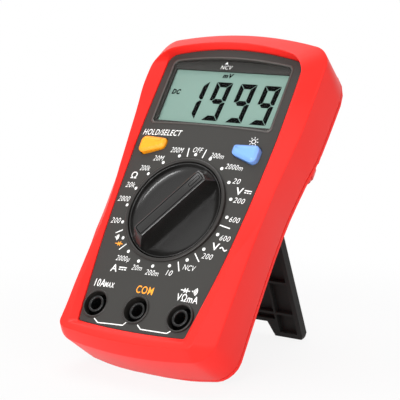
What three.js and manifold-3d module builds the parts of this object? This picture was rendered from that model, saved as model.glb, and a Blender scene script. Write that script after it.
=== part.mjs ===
// A handheld digital multimeter standing on its tilt stand, as an assembly of its real pieces.
//
// Lengths are in millimetres. Every piece is drawn in the face's own frame: X runs across the face, Y up the
// face, Z out of it, with zero at the dial's centre on the panel's surface. The finished meter is then leaned
// back and set down with the centre of its footprint at the origin, +Z up and the face towards -Y.

import * as THREE from "three";
import { mergeVertices } from "three/addons/utils/BufferGeometryUtils.js";
import Module from "manifold-3d";

const wasm = await Module();
wasm.setup();

// Driving dimensions

// How far the face leans back from upright, and how far the open stand leans from upright behind it
const LEAN = THREE.MathUtils.degToRad(35.3);
const STAND_SPREAD = THREE.MathUtils.degToRad(20.79);
const GAP = 0.3;
const OVERRUN = 1;
const DIAL_STEPS = 20;
const DIAL_STEP = (2 * Math.PI) / DIAL_STEPS;
const POINTER_STEPS = 2;

// Points along the stretches of a case outline, and how far a corner's curve is drawn out into the corner
const OUTLINE_STEPS = { end: 4, corner: 5, side: 15 };
const cornerPullShare = 0.45;

// The case: outlines in the face's plane and the heights that they lie at

const shell = {
  length: 132.8, width: 77, belowDial: 56.2, wall: 2.2,
  shoulderZ: -4.5, partingZ: -20.5, crestZ: 3, creaseReach: 4.5,
  topDrop: 4.8, bottomDrop: 3.4, topCorner: 8.5, bottomCorner: 7.5, edgeRound: 0.5,
};
const yLow = -shell.belowDial;
const yHigh = shell.length - shell.belowDial;
const halfWidth = shell.width / 2;
const placeShare = (y) => (y - yLow) / shell.length;

/** Half width of an outline at a height on the face, read from its table of shares. */
const sideAt = (shares, y) => follow(shares, placeShare(y)) * halfWidth;

// Half widths down the side as [place along the length from the bottom, share of the case's half width]
const outerSideShares = [[0, 0.914], [0.154, 0.914], [0.336, 0.914], [0.447, 0.925], [0.543, 0.94],
  [0.649, 0.977], [0.702, 0.995], [0.785, 1], [1, 1]];
const rearSideShares = [[0, 0.918], [0.101, 0.918], [0.147, 0.909], [0.348, 0.888], [0.468, 0.889],
  [0.517, 0.9], [0.567, 0.918], [0.617, 0.94], [0.672, 0.972], [0.719, 0.987], [0.77, 0.992],
  [0.845, 0.997], [1, 1]];
const creaseSideShares = [[0, 0.777], [0.099, 0.784], [0.17, 0.803], [0.288, 0.818], [0.337, 0.849],
  [0.393, 0.886], [0.446, 0.908], [0.543, 0.928], [0.649, 0.965], [0.702, 0.983], [0.785, 0.988],
  [1, 0.988]];
const crestSideShares = [[0, 0.69], [0.099, 0.709], [0.174, 0.732], [0.273, 0.774], [0.341, 0.79],
  [0.415, 0.803], [0.543, 0.839], [0.656, 0.868], [0.724, 0.881], [0.79, 0.9], [0.85, 0.893],
  [0.9, 0.872], [1, 0.85]];
const panelSideShares = [[0, 0.625], [0.09, 0.647], [0.19, 0.683], [0.288, 0.722], [0.386, 0.752],
  [0.483, 0.774], [0.585, 0.791], [0.68, 0.801], [0.8, 0.798], [1, 0.785]];

// Heights down the side: the crest as shares of crestZ, the lip over the panel as shares of crestZ, and the
// crease as shares of creaseReach
const crestHeightShares = [[0, 0.73], [0.099, 0.63], [0.148, 0.5], [0.197, 0.33], [0.242, 0.12], [0.29, 0.03],
  [0.34, 0], [0.385, -0.06], [0.433, -0.06], [0.481, 0], [0.53, 0.13], [0.578, 0.21], [0.628, 0.31],
  [0.677, 0.42], [0.724, 0.6], [0.785, 0.79], [0.88, 0.93], [1, 1]];
const lipHeightShares = [[0, 0.3], [0.1, 0.2], [0.25, 0.1], [0.8, 0.1], [1, 0.25]];
const creaseHeightShares = [[0, 0.5], [0.099, 0.31], [0.17, 0.155], [0.288, -0.045], [0.337, -0.27],
  [0.393, -0.66], [0.446, -0.84], [0.543, -0.92], [0.88, -0.92], [1, -0.75]];

// The panel and what is set in it

const panel = {
  topMargin: 9.1, bottomMargin: 8.4, topDrop: 3, bottomDrop: 0.8, topCorner: 3, bottomCorner: 0.8,
  thickness: 3, flange: 1.2, flangeDepth: 1.2, crown: 2.96, crestTopMargin: 7.4, crestDrop: 5.2, crestCorner: 7,
  chinDepth: 2.9, creaseDrop: 2.2, creaseCorner: 2.5,
};

/** Height of the panel's crowned face, which falls by the crown from the middle to the case's half width. */
const crownAt = (x) => -panel.crown * (x / halfWidth) ** 2;

const windowPane = {
  sideMargin: 4.15, bottom: 35.8, top: 63.4, arch: 1.6, corner: 1.2, frontZ: -1.2, thickness: 0.8,
  ridge: 0.7, ridgeHeight: 0.3, seat: 0.8,
};
const view = { sideInset: 0.6, bottom: 37, top: 59.6 };
const lcd = { sideLap: 1.4, bottom: 34.8, top: 61, thickness: 2.2 };
const paneHalf = sideAt(panelSideShares, (windowPane.bottom + windowPane.top) / 2) - windowPane.sideMargin;
const viewHalf = paneHalf - view.sideInset;
const lcdHalf = viewHalf + lcd.sideLap;
const lcdFrame = { wall: 1.3 };
const lightGuide = { thickness: 1.8, margin: 0.8 };
const zebra = { width: 1.8, sideMargin: 2 };

const keyCap = {
  height: 1.3, bevel: 1, bevelHeight: 0.8, flange: 0.5, flangeDepth: 1, stemRadius: 1.6, stemLength: 0.8,
  travel: 0.8,
};
// Corner points of a key cap as shares of its width and height, from the corner nearest the dial's top
const keyBox = { edgeMargin: 3.1, width: 12.3, low: 21, high: 28.7 };
const keyMiddle = (keyBox.low + keyBox.high) / 2;
const keyOuter = sideAt(panelSideShares, keyMiddle) - keyBox.edgeMargin;
const keyInner = keyOuter - keyBox.width;
const keyOutlineShares = [[0.06, 0.95], [0.88, 1], [1, 0.8], [0.985, 0.14], [0.82, 0], [0.07, 0.37],
  [0, 0.5], [0, 0.86]];

const keySwitch = { width: 6, bodyHeight: 3.2, plungerRadius: 1.5, bore: 1.8, boreFloor: 0.8 };

// The dial and the rotary switch under it

const dial = {
  rimRadius: 19.2, rimZ: 0.35, rimWidth: 1.2, dishRadius: 14.2, dishZ: -2.6, floor: 1.8, skirtZ: -5.5,
  skirtWall: 1.6, hubRadius: 4.6, hubLength: 3.8,
};
const ridge = {
  topZ: 4.5, topHalfWidth: 2.9, baseHalfWidth: 3.9, headLength: 16.6, tailLength: 15.5, baseLength: 18.7,
  edge: 0.5, slotLength: 5, slotWidth: 1.2, slotDepth: 0.5, slotInset: 1.2, endShare: 0.22,
};
// The dish's wall and the rim as [share of rimWidth in from the edge, share of dishZ or of rimZ]
const dishWallShares = [[3, 0.75], [1.7, 0.25]];
const rimShares = [[1, 0.6], [0.5, 1], [0, 0.2]];
const collar = { width: 1.3, height: 0.6, clearance: 0.4, depth: 5.6, notchDepth: 0.55, wall: 2.1 };
const rotor = { radius: 16.4, topZ: -4.7, thickness: 3.9, ballHole: 1.25, ballHoleDepth: 4.4 };
const ball = { radius: 1.1, sections: 10, rings: 6 };
const ballSpring = { turns: 3, radius: 0.8, wire: 0.16 };
const wiper = { count: 3, ring: 11, length: 7, width: 1.8, thickness: 0.25, bow: 0.2 };

// The board and what it carries

const board = {
  frontZ: -9.3, thickness: 1.6, topMargin: 9.3, bottomMargin: 12.5, top: 65.5, bottom: -46.4,
  shaftHole: 5.2,
};
const boardTopHalf = halfWidth - board.topMargin;
const boardBottomHalf = halfWidth - board.bottomMargin;
const boardScrew = {
  headRadius: 2.4, headHeight: 1.3, shankRadius: 1.1, shankLength: 5, slot: 0.5, edge: 3.7,
  aboveCollar: 5.7, belowCollar: 5.3,
};
const collarOuter = dial.rimRadius + collar.clearance + collar.wall;
const boardScrewPlaces = [[0, collarOuter + boardScrew.aboveCollar], ...[1, -1].map((side) => [
  side * (boardBottomHalf - boardScrew.edge), -collarOuter - boardScrew.belowCollar])];
const bossWall = 1.1;

const jack = {
  edgeClearance: 0.8166, y: -40, wellRadius: 4.8, ringWidth: 0.7, ringHeight: 0.5, wellWall: 1.3, tubeRadius: 3.3,
  tubeTopZ: -0.6, boreRadius: 2.15, lipDepth: 6.8, floor: 1.4, socketWall: 0.6, socketBore: 2.05,
  socketEndZ: -17, solderRadius: 4.2, solderHeight: 0.6,
};
const jackSpacing = sideAt(panelSideShares, jack.y) - jack.wellRadius - jack.ringWidth - jack.edgeClearance;
const socketOuter = jack.socketBore + jack.socketWall;
const jackNames = ["socket_10_amp", "socket_common", "socket_volt_ohm"];

const fuse = {
  radius: 2.5, length: 20, bayClearance: 4.95, y: -2.5, capLength: 5, neckShare: 0.88,
  clipThickness: 0.6, clipWidth: 4,
};
const shunt = { wire: 0.8, clearance: 1.3, drop: 4.4 };
const chip = { size: 12, height: 1.5, x: -14, y: 46 };
const buzzer = { radius: 7.5, height: 4, x: 14, y: 44, soundHole: 1.2 };
const thermistor = { radius: 4, thickness: 2.4, edge: 7.2, y: 24 };
const trimmer = { size: 6, height: 3.6, edge: 7.2, y: 25, slotWidth: 0.9, slotDepth: 0.8 };
const capacitor = { radius: 3, length: 8, x: 0, y: 36, topBevel: 0.5 };
const sensor = { width: 14, height: 4.6, thickness: 0.4, y: 64.2 };

// The rear cover, its stand and the battery bay

const rear = {
  edgeZ: -22, facetInset: 1.6, facetZ: -23.7, backInset: 5.5, backZ: -25.5, skin: 2, innerInset: 6.8,
  bottomReach: 0.4, bottomDrop: 4, topCorner: 13, bottomCorner: 7, restDepth: 0.83, humpZ: -31, humpMargin: 14.9,
  humpTop: 61.5, humpBottom: -46.5, humpSlope: 2, humpCorner: 5, humpWall: 2.2,
};
const humpHalf = halfWidth - rear.humpMargin;
const stand = {
  hingeInset: 1.85, length: 62, sideMargin: 4.5, footFlare: 0.6, thickness: 3.3, skin: 1.3, rim: 1.6,
  ribWidth: 1, notchTop: 4.4, notchFoot: 7, notchDepth: 7, trunnionRadius: 1.4, trunnionLength: 2,
  cornerCut: 2.2,
};
const standHalf = humpHalf - stand.sideMargin;
// Where the ribs stand: the long ones across the half width, the cross ones along the length from the hinge
const longRibShare = 0.4712;
const crossRibShares = [0.5806, 0.8145];
const recess = { side: 0.6, floorZ: -26.6, above: 3.7, below: 4 };
const cell = {
  radius: 5.25, length: 44.5, spacing: 11.4, nubRadius: 1.9, nubHeight: 0.8, baseShare: 0.9,
};
const bay = { side: 0.9, end: 4, wall: 1.4, socketClearance: 1 };
const bayHalfWidth = cell.spacing / 2 + cell.radius + bay.side;
const bayBottom = jack.y + socketOuter + bay.socketClearance + bay.wall;
const bayTop = bayBottom + cell.length + 2 * bay.end;
const cellY = (bayBottom + bayTop) / 2;
const door = { thickness: 1.7, lip: 2, screwInset: 3.2, screwTab: 6.4 };
const doorScrew = { headRadius: 2.2, headHeight: 1.1, shankRadius: 1, shankLength: 4.4, slot: 0.5 };
const contact = { thickness: 0.5, width: 8.6, springRadius: 2.6, springTurns: 2, springWire: 0.25 };

const holder = {
  sideMargin: 4.8, z: -36.3, bore: 5.2, wall: 1.8, bottom: 34.7, length: 13.8, openFrom: 58, openTo: 140,
  ribs: 2, ribHeight: 0.6, ribWidth: 3.9,
};
const caseScrew = { headRadius: 2.6, headHeight: 1.6, shankRadius: 1.4, shankLength: 9, slot: 0.6 };
const caseBoss = { radius: 3.2, upperInset: 5.21, lowerInset: 6.2, upperEnd: 18.6, lowerEnd: 9.3 };
const caseScrewPlaces = [[caseBoss.upperInset, yHigh - caseBoss.upperEnd],
  [caseBoss.lowerInset, yLow + caseBoss.lowerEnd]].flatMap(([inset, y]) => [1, -1].map((side) => [
  side * (sideAt(rearSideShares, y) - inset), y]));

const FINE = 40;
const ROUND = 18;
const SMALL = 12;
const ARCH_STEPS = 8;
const COIL_STEPS = 8;
const COIL_SIDES = 5;
const CLIP_STEPS = 12;
const CROWN_STEPS = 9;

// Finishes

function finish(color, roughness, metalness = 0) {
  return new THREE.MeshStandardMaterial({ color, roughness, metalness });
}
const redPlastic = finish(0xf23a35, 0.5);
const panelGrey = finish(0x3f3d3b, 0.6);
const blackPlastic = finish(0x181817, 0.42);
const standBlack = finish(0x1d1d1b, 0.6);
const clearPlastic = finish(0xb9c4bf, 0.1);
const lcdGreen = finish(0x93b2a7, 0.3);
const yellowPlastic = finish(0xffb224, 0.4);
const bluePlastic = finish(0x79b2ee, 0.4);
const creamPlastic = finish(0xe6e0d0, 0.6);
const rubberGrey = finish(0x55575a, 0.8);
const boardGreen = finish(0x1f5c3a, 0.5);
const brass = finish(0xc9a24f, 0.3, 1);
const steel = finish(0xb4b6b8, 0.35, 1);
const glassClear = finish(0xdfe8ea, 0.08);
const cellSkin = finish(0x2f5a9c, 0.4);
const epoxy = finish(0x161616, 0.55);
const orangeCoat = finish(0xd0792c, 0.5);

// Geometry helpers

/** Turn a closed geometry's faces outwards and keep only merged corner points. */
function closed(geometry) {
  const bare = geometry.clone();
  bare.deleteAttribute("normal");
  bare.deleteAttribute("uv");
  bare.clearGroups();
  const merged = mergeVertices(bare, GAP / 1000);
  const kept = [];
  const index = Array.from(merged.index.array);
  for (let i = 0; i < index.length; i += 3) {
    const [a, b, c] = [index[i], index[i + 1], index[i + 2]];
    if (a !== b && b !== c && c !== a) kept.push(a, b, c);
  }
  merged.setIndex(volumeOf(merged, kept) < 0 ? kept.toReversed() : kept);
  return merged;
}

function volumeOf(geometry, index) {
  const corner = [new THREE.Vector3(), new THREE.Vector3(), new THREE.Vector3()];
  const place = geometry.attributes.position;
  let volume = 0;
  for (let i = 0; i < index.length; i += 3) {
    corner.forEach((point, k) => point.fromBufferAttribute(place, index[i + k]));
    volume += corner[0].dot(corner[1].clone().cross(corner[2])) / 6;
  }
  return volume;
}

function solid(geometry) {
  const mesh = closed(geometry);
  return new wasm.Manifold(new wasm.Mesh({
    numProp: 3,
    vertProperties: new Float32Array(mesh.attributes.position.array),
    triVerts: new Uint32Array(mesh.index.array),
  }));
}

function fromSolid(manifold) {
  const mesh = manifold.getMesh();
  const geometry = new THREE.BufferGeometry();
  geometry.setAttribute("position", new THREE.BufferAttribute(new Float32Array(mesh.vertProperties), 3));
  geometry.setIndex(Array.from(mesh.triVerts));
  return geometry;
}

/** Join the added geometries to the first one, then cut the others away. */
function shaped(base, added = [], cut = []) {
  const whole = added.reduce((sum, part) => sum.add(solid(part)), solid(base));
  return fromSolid(cut.reduce((rest, tool) => rest.subtract(solid(tool)), whole));
}

/** A box given by its lowest and highest corners. */
function block(x0, x1, y0, y1, z0, z1) {
  const box = new THREE.BoxGeometry(Math.abs(x1 - x0), Math.abs(y1 - y0), Math.abs(z1 - z0));
  return box.translate((x0 + x1) / 2, (y0 + y1) / 2, (z0 + z1) / 2);
}

/** A solid of revolution about a line along Z: profile is [radius, height] pairs that start and end on it. */
function turned(profile, sides = ROUND, x = 0, y = 0) {
  const points = profile.map(([radius, height]) => new THREE.Vector2(radius, height));
  return new THREE.LatheGeometry(points, sides).rotateX(Math.PI / 2).translate(x, y, 0);
}

function rod(radius, z0, z1, sides = ROUND, x = 0, y = 0) {
  return turned([[0, z0], [radius, z0], [radius, z1], [0, z1]], sides, x, y);
}

function tube(outer, inner, z0, z1, sides = ROUND, x = 0, y = 0) {
  return turned([[inner, z0], [outer, z0], [outer, z1], [inner, z1], [inner, z0]], sides, x, y);
}

/** A flat plate of the given outline points, from z0 up to z1. */
function plate(points, z0, z1) {
  const shape = new THREE.Shape(points.map(([x, y]) => new THREE.Vector2(x, y)));
  const options = { depth: z1 - z0, bevelEnabled: false, curveSegments: SMALL };
  return new THREE.ExtrudeGeometry(shape, options).translate(0, 0, z0);
}

/** Skin a stack of rings that have the same number of points, capped at both ends or closed on itself. */
function lofted(rings, closesOnItself = false) {
  const count = rings[0].length;
  const places = rings.flat(2);
  const index = [];
  const spans = closesOnItself ? rings.length : rings.length - 1;
  for (let r = 0; r < spans; r += 1) {
    const here = r * count;
    const there = ((r + 1) % rings.length) * count;
    for (let i = 0; i < count; i += 1) {
      const next = (i + 1) % count;
      index.push(here + i, here + next, there + next, here + i, there + next, there + i);
    }
  }
  const cap = (ring, first, facesUp) => {
    const flat = ring.map(([x, y]) => new THREE.Vector2(x, y));
    const keep = THREE.ShapeUtils.isClockWise(flat) !== facesUp;
    THREE.ShapeUtils.triangulateShape(flat, []).forEach(([a, b, c]) => {
      index.push(first + a, first + (keep ? b : c), first + (keep ? c : b));
    });
  };
  if (!closesOnItself) {
    cap(rings[0], 0, false);
    cap(rings.at(-1), (rings.length - 1) * count, true);
  }
  const geometry = new THREE.BufferGeometry();
  geometry.setAttribute("position", new THREE.Float32BufferAttribute(places, 3));
  geometry.setIndex(index);
  return geometry;
}

/** A smooth curve through [place, value] pairs, read at one place. */
function follow(pairs, place) {
  const last = pairs.length - 1;
  const t = THREE.MathUtils.clamp(place, pairs[0][0], pairs[last][0]);
  const i = Math.min(pairs.findIndex(([x], k) => k === last - 1 || t <= pairs[k + 1][0]), last - 1);
  const slope = (k) => {
    const [x0, y0] = pairs[Math.max(k - 1, 0)];
    const [x1, y1] = pairs[Math.min(k + 1, last)];
    return (y1 - y0) / (x1 - x0);
  };
  const [x0, y0] = pairs[i];
  const [x1, y1] = pairs[i + 1];
  const span = x1 - x0;
  const s = (t - x0) / span;
  const rise = y0 * (1 + 2 * s) * (1 - s) ** 2 + y1 * s * s * (3 - 2 * s);
  return rise + span * (slope(i) * s * (1 - s) ** 2 - slope(i + 1) * s * s * (1 - s));
}

/**
 * Points of a closed outline that is symmetric about Y: an arched top, sides that follow a table of half
 * widths, an arched bottom and rounded corners. Every outline has the same number of points.
 */
function outline(form, grow = 0) {
  const side = (y) => sideAt(form.sides, y) + grow;
  const top = form.top + grow;
  const bottom = form.bottom - grow;
  const yTop = top - form.topDrop;
  const yBottom = bottom + form.bottomDrop;
  const topHalf = side(yTop);
  const bottomHalf = side(yBottom);
  const topAt = (x) => top - form.topDrop * (x / topHalf) ** 2;
  const bottomAt = (x) => bottom + form.bottomDrop * (x / bottomHalf) ** 2;
  const half = [];
  const run = (steps, at) => {
    for (let i = 0; i < steps; i += 1) half.push(at(i / steps));
  };
  const bend = (from, corner, to) => (t) => {
    const near = from.map((value, k) => corner[k] + (value - corner[k]) * cornerPullShare);
    const far = to.map((value, k) => corner[k] + (value - corner[k]) * cornerPullShare);
    const share = [(1 - t) ** 3, 3 * t * (1 - t) ** 2, 3 * t * t * (1 - t), t ** 3];
    return from.map((value, k) => share[0] * value + share[1] * near[k] + share[2] * far[k] + share[3] * to[k]);
  };
  const topRun = topHalf - form.topCorner;
  const bottomRun = bottomHalf - form.bottomCorner;
  const sideFrom = yTop - form.topCorner;
  const sideTo = yBottom + form.bottomCorner;
  run(OUTLINE_STEPS.end, (t) => [t * topRun, topAt(t * topRun)]);
  run(OUTLINE_STEPS.corner, bend([topRun, topAt(topRun)], [topHalf, yTop], [side(sideFrom), sideFrom]));
  run(OUTLINE_STEPS.side, (t) => {
    const y = sideFrom + (sideTo - sideFrom) * t;
    return [side(y), y];
  });
  run(OUTLINE_STEPS.corner, bend([side(sideTo), sideTo], [bottomHalf, yBottom], [bottomRun, bottomAt(bottomRun)]));
  run(OUTLINE_STEPS.end, (t) => [(1 - t) * bottomRun, bottomAt((1 - t) * bottomRun)]);
  half.push([0, bottom]);
  const mirrored = half.slice(1, -1).toReversed().map(([x, y]) => [-x, y]);
  return [...half, ...mirrored];
}

const atHeight = (points, z) => points.map(([x, y]) => [x, y, z]);
const atHeights = (points, pairs, reach) => points.map(([x, y]) => [x, y, follow(pairs, placeShare(y)) * reach]);

/** A rectangle's outline with bevelled corners. */
function bevelled(x0, x1, y0, y1, cut) {
  return [[x0 + cut, y0], [x1 - cut, y0], [x1, y0 + cut], [x1, y1 - cut], [x1 - cut, y1], [x0 + cut, y1],
    [x0, y1 - cut], [x0, y0 + cut]];
}

/** Move every point of an outline towards the outline's middle by the inset. */
function shrunk(points, inset) {
  const xs = points.map(([x]) => x);
  const ys = points.map(([, y]) => y);
  const middle = [(Math.min(...xs) + Math.max(...xs)) / 2, (Math.min(...ys) + Math.max(...ys)) / 2];
  const reach = [(Math.max(...xs) - Math.min(...xs)) / 2, (Math.max(...ys) - Math.min(...ys)) / 2];
  return points.map((point) => point.map((value, k) => (
    middle[k] + (value - middle[k]) * (1 - inset / reach[k]))));
}

/** A round wire along a helix about Z with flat, straight ends, as one closed solid. */
function coil(radius, wire, turns, z0, z1) {
  const steps = turns * COIL_STEPS;
  const sides = COIL_SIDES;
  const rings = [];
  for (let i = 0; i <= steps; i += 1) {
    const angle = (2 * Math.PI * i * turns) / steps;
    const z = z0 + wire + ((z1 - z0 - 2 * wire) * i) / steps;
    rings.push(Array.from({ length: sides }, (_, k) => {
      const around = (2 * Math.PI * k) / sides;
      const reach = radius + wire * Math.cos(around);
      return [reach * Math.cos(angle), reach * Math.sin(angle), z + wire * Math.sin(around)];
    }));
  }
  const count = rings.length * sides;
  const places = rings.flat(2);
  const index = [];
  for (let r = 0; r < steps; r += 1) {
    for (let k = 0; k < sides; k += 1) {
      const next = (k + 1) % sides;
      const [a, b] = [r * sides, (r + 1) * sides];
      index.push(a + k, a + next, b + next, a + k, b + next, b + k);
    }
  }
  for (let k = 1; k < sides - 1; k += 1) {
    index.push(0, k + 1, k);
    index.push(count - sides, count - sides + k, count - sides + k + 1);
  }
  const geometry = new THREE.BufferGeometry();
  geometry.setAttribute("position", new THREE.Float32BufferAttribute(places, 3));
  geometry.setIndex(index);
  return geometry;
}

/** A screw that points along +Z from a head whose outer face is at z, with one driver slot. */
function screw(size, x, y, z) {
  const seat = z + size.headHeight;
  const tip = seat + size.shankLength;
  const profile = [[0, z], [size.headRadius, z], [size.headRadius, seat], [size.shankRadius, seat],
    [size.shankRadius, tip - size.shankRadius], [0, tip]];
  const slot = block(x - size.headRadius, x + size.headRadius, y - size.slot / 2, y + size.slot / 2,
    z - OVERRUN, z + size.headHeight / 2);
  return shaped(turned(profile, SMALL, x, y), [], [slot]);
}

const face = new THREE.Group();

function add(name, geometry, material, parent = face) {
  const mesh = new THREE.Mesh(closed(geometry), material);
  mesh.name = name;
  parent.add(mesh);
  return mesh;
}

// Outlines of the case

const outerForm = {
  sides: outerSideShares, top: yHigh, topDrop: shell.topDrop, bottom: yLow, bottomDrop: shell.bottomDrop,
  topCorner: shell.topCorner, bottomCorner: shell.bottomCorner,
};
const rearForm = {
  ...outerForm, sides: rearSideShares, bottom: yLow - rear.bottomReach, bottomDrop: rear.bottomDrop,
  topCorner: rear.topCorner, bottomCorner: rear.bottomCorner,
};
const panelForm = {
  sides: panelSideShares, top: yHigh - panel.topMargin, topDrop: panel.topDrop,
  bottom: yLow + panel.bottomMargin, bottomDrop: panel.bottomDrop, topCorner: panel.topCorner,
  bottomCorner: panel.bottomCorner,
};
const creaseForm = {
  sides: creaseSideShares, top: yHigh - shell.edgeRound, topDrop: shell.topDrop, bottom: yLow + panel.chinDepth,
  bottomDrop: panel.creaseDrop, topCorner: shell.topCorner, bottomCorner: panel.creaseCorner,
};
const crestForm = {
  sides: crestSideShares, top: yHigh - panel.crestTopMargin, topDrop: panel.crestDrop,
  bottom: yLow + (panel.chinDepth + panel.bottomMargin) / 2, bottomDrop: (panel.creaseDrop + panel.bottomDrop) / 2,
  topCorner: panel.crestCorner, bottomCorner: (panel.creaseCorner + panel.bottomCorner) / 2,
};

const panelUnderZ = -panel.thickness;
const flangeTopZ = panelUnderZ - GAP / 2;
const flangeLowZ = flangeTopZ - panel.flangeDepth;
const boardBackZ = board.frontZ - board.thickness;

// Front case: one moulding whose section runs from the lip round the panel over the crest, the crease and the
// shoulder, down the side wall to the parting line and back up the inside.
function frontCase() {
  const ledgeZ = flangeTopZ + GAP;
  const crest = atHeights(outline(crestForm), crestHeightShares, shell.crestZ);
  const overFlange = atHeight(outline(panelForm, panel.flange + 2 * GAP), ledgeZ);
  const underCrest = crest.map(([x, y, z], i) => [
    (x + overFlange[i][0]) / 2, (y + overFlange[i][1]) / 2, z - shell.wall - GAP]);
  const rings = [
    atHeights(outline(panelForm, GAP), lipHeightShares, shell.crestZ).map(([x, y, z]) => [x, y, z + crownAt(x)]),
    crest,
    atHeights(outline(creaseForm), creaseHeightShares, shell.creaseReach),
    atHeight(outline(outerForm), shell.shoulderZ),
    atHeight(outline(rearForm), shell.partingZ),
    atHeight(outline(rearForm, -shell.wall), shell.partingZ),
    atHeight(outline(outerForm, -shell.wall), shell.shoulderZ - shell.wall),
    underCrest,
    overFlange,
    atHeight(outline(panelForm, GAP), ledgeZ),
  ];
  const bossBottom = shell.partingZ;
  const bossTop = shell.shoulderZ - shell.wall / 2;
  const bosses = caseScrewPlaces.map(([x, y]) => rod(caseBoss.radius, bossBottom, bossTop, SMALL, x, y));
  const bores = caseScrewPlaces.map(([x, y]) => (
    rod(caseScrew.shankRadius + GAP, bossBottom - OVERRUN, bossTop - shell.wall, SMALL, x, y)));
  return shaped(lofted(rings, true), bosses, bores);
}
add("front_case", frontCase(), redPlastic);

// Window pane outline, shared by the pane, its recess and the ridge round it
function paneOutline(grow = 0) {
  const half = paneHalf + grow;
  const low = windowPane.bottom - grow;
  const high = windowPane.top + grow;
  const arch = Array.from({ length: ARCH_STEPS + 1 }, (_, i) => {
    const x = (half - windowPane.corner) * (1 - (2 * i) / ARCH_STEPS);
    return [x, high - windowPane.arch * (x / half) ** 2];
  });
  const cornerY = high - windowPane.arch - windowPane.corner;
  return [[-half, low + windowPane.corner], [-half + windowPane.corner, low],
    [half - windowPane.corner, low], [half, low + windowPane.corner], [half, cornerY], ...arch, [-half, cornerY]];
}

/** Outline of a key cap on one side of the dial: side is 1 for the right and -1 for the left. */
function keyOutline(side, grow = 0) {
  const height = keyBox.high - keyBox.low;
  const points = keyOutlineShares.map(([x, y]) => [
    side * (keyInner + x * keyBox.width), keyBox.low + y * height]);
  return shrunk(side > 0 ? points : points.toReversed(), -grow);
}

const jackPlaces = [-1, 0, 1].map((step) => step * jackSpacing);
const collarInner = dial.rimRadius + collar.clearance;
const paneBackZ = windowPane.frontZ - windowPane.thickness;
const seatZ = paneBackZ - GAP;
const seatUnderZ = seatZ - windowPane.seat;

/** The ring of notches that the dial's two balls click into, one notch for each of the dial's positions. */
function detentRing() {
  const perNotch = 4;
  const count = DIAL_STEPS * perNotch;
  const inside = (i) => {
    const bite = collar.notchDepth * Math.cos((2 * Math.PI * i) / perNotch);
    const radius = dial.rimRadius - collar.notchDepth + bite / 2;
    const angle = (2 * Math.PI * i) / count - POINTER_STEPS * DIAL_STEP;
    return [radius, angle];
  };
  const ring = (radiusAt, z) => Array.from({ length: count }, (_, i) => {
    const [radius, angle] = radiusAt(i);
    return [radius * Math.sin(angle), radius * Math.cos(angle), z];
  });
  const plain = (radius) => (i) => [radius, inside(i)[1]];
  const topZ = dial.skirtZ - GAP;
  const lowZ = panelUnderZ - collar.depth;
  return lofted([
    ring(plain(collarOuter), panelUnderZ + panel.thickness / 2), ring(plain(collarOuter), lowZ), ring(inside, lowZ),
    ring(inside, topZ), ring(plain(collarInner), topZ), ring(plain(collarInner), panelUnderZ + panel.thickness / 2),
  ], true);
}

/** All that lies over the panel's crowned face raised by a lift, as flat strips: it trims a plate to the crown. */
function overCrown(lift) {
  const reach = halfWidth + OVERRUN;
  const curve = Array.from({ length: CROWN_STEPS + 1 }, (_, i) => {
    const x = reach * (1 - (2 * i) / CROWN_STEPS);
    return [x, crownAt(x) + lift];
  });
  const top = lift + 2 * OVERRUN;
  return plate([[-reach, top], [reach, top], ...curve], -yHigh, -yLow).rotateX(Math.PI / 2);
}

// Front panel: the dark plate with the window recess, the key holes, the dial's collar and the jack rings
function frontPanel() {
  const base = shaped(plate(outline(panelForm), flangeTopZ - OVERRUN / 10, OVERRUN), [], [overCrown(0)]);
  const flange = plate(outline(panelForm, panel.flange), flangeLowZ, flangeTopZ);
  const ridgeRing = shaped(plate(paneOutline(GAP + windowPane.ridge), seatUnderZ, windowPane.ridgeHeight + OVERRUN),
    [], [overCrown(windowPane.ridgeHeight)]);
  const collarRing = rod(collarInner + collar.width, panelUnderZ, collar.height, FINE);
  const jackRings = jackPlaces.map((x) => (
    rod(jack.wellRadius + jack.ringWidth, panelUnderZ, jack.ringHeight + crownAt(x), ROUND, x, jack.y)));
  const bosses = boardScrewPlaces.map(([x, y]) => (
    rod(boardScrew.shankRadius + GAP + bossWall, board.frontZ + GAP, panelUnderZ, SMALL, x, y)));
  const hollow = plate(outline(panelForm, -panel.flange / 2), flangeLowZ - OVERRUN, panelUnderZ);
  const recessCut = plate(paneOutline(GAP), seatZ, windowPane.ridgeHeight + OVERRUN);
  const viewCut = block(-viewHalf, viewHalf, view.bottom, view.top, seatUnderZ - OVERRUN, OVERRUN);
  const dialCut = rod(collarInner, flangeLowZ - OVERRUN, collar.height + OVERRUN, FINE);
  const keyCuts = [1, -1].map((side) => plate(keyOutline(side, GAP), flangeLowZ - OVERRUN, OVERRUN));
  const jackCuts = jackPlaces.map((x) => (
    rod(jack.wellRadius, flangeLowZ - OVERRUN, jack.ringHeight + OVERRUN, ROUND, x, jack.y)));
  const screwBores = boardScrewPlaces.map(([x, y]) => (
    rod(boardScrew.shankRadius + GAP, board.frontZ - OVERRUN, panelUnderZ - GAP, SMALL, x, y)));
  const rim = shaped(base, [flange], [hollow]);
  return shaped(rim, [ridgeRing, collarRing, detentRing(), ...jackRings, ...bosses],
    [recessCut, viewCut, dialCut, ...keyCuts, ...jackCuts, ...screwBores]);
}
add("front_panel", frontPanel(), panelGrey);
add("display_window", plate(paneOutline(), paneBackZ, windowPane.frontZ), clearPlastic);

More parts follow.
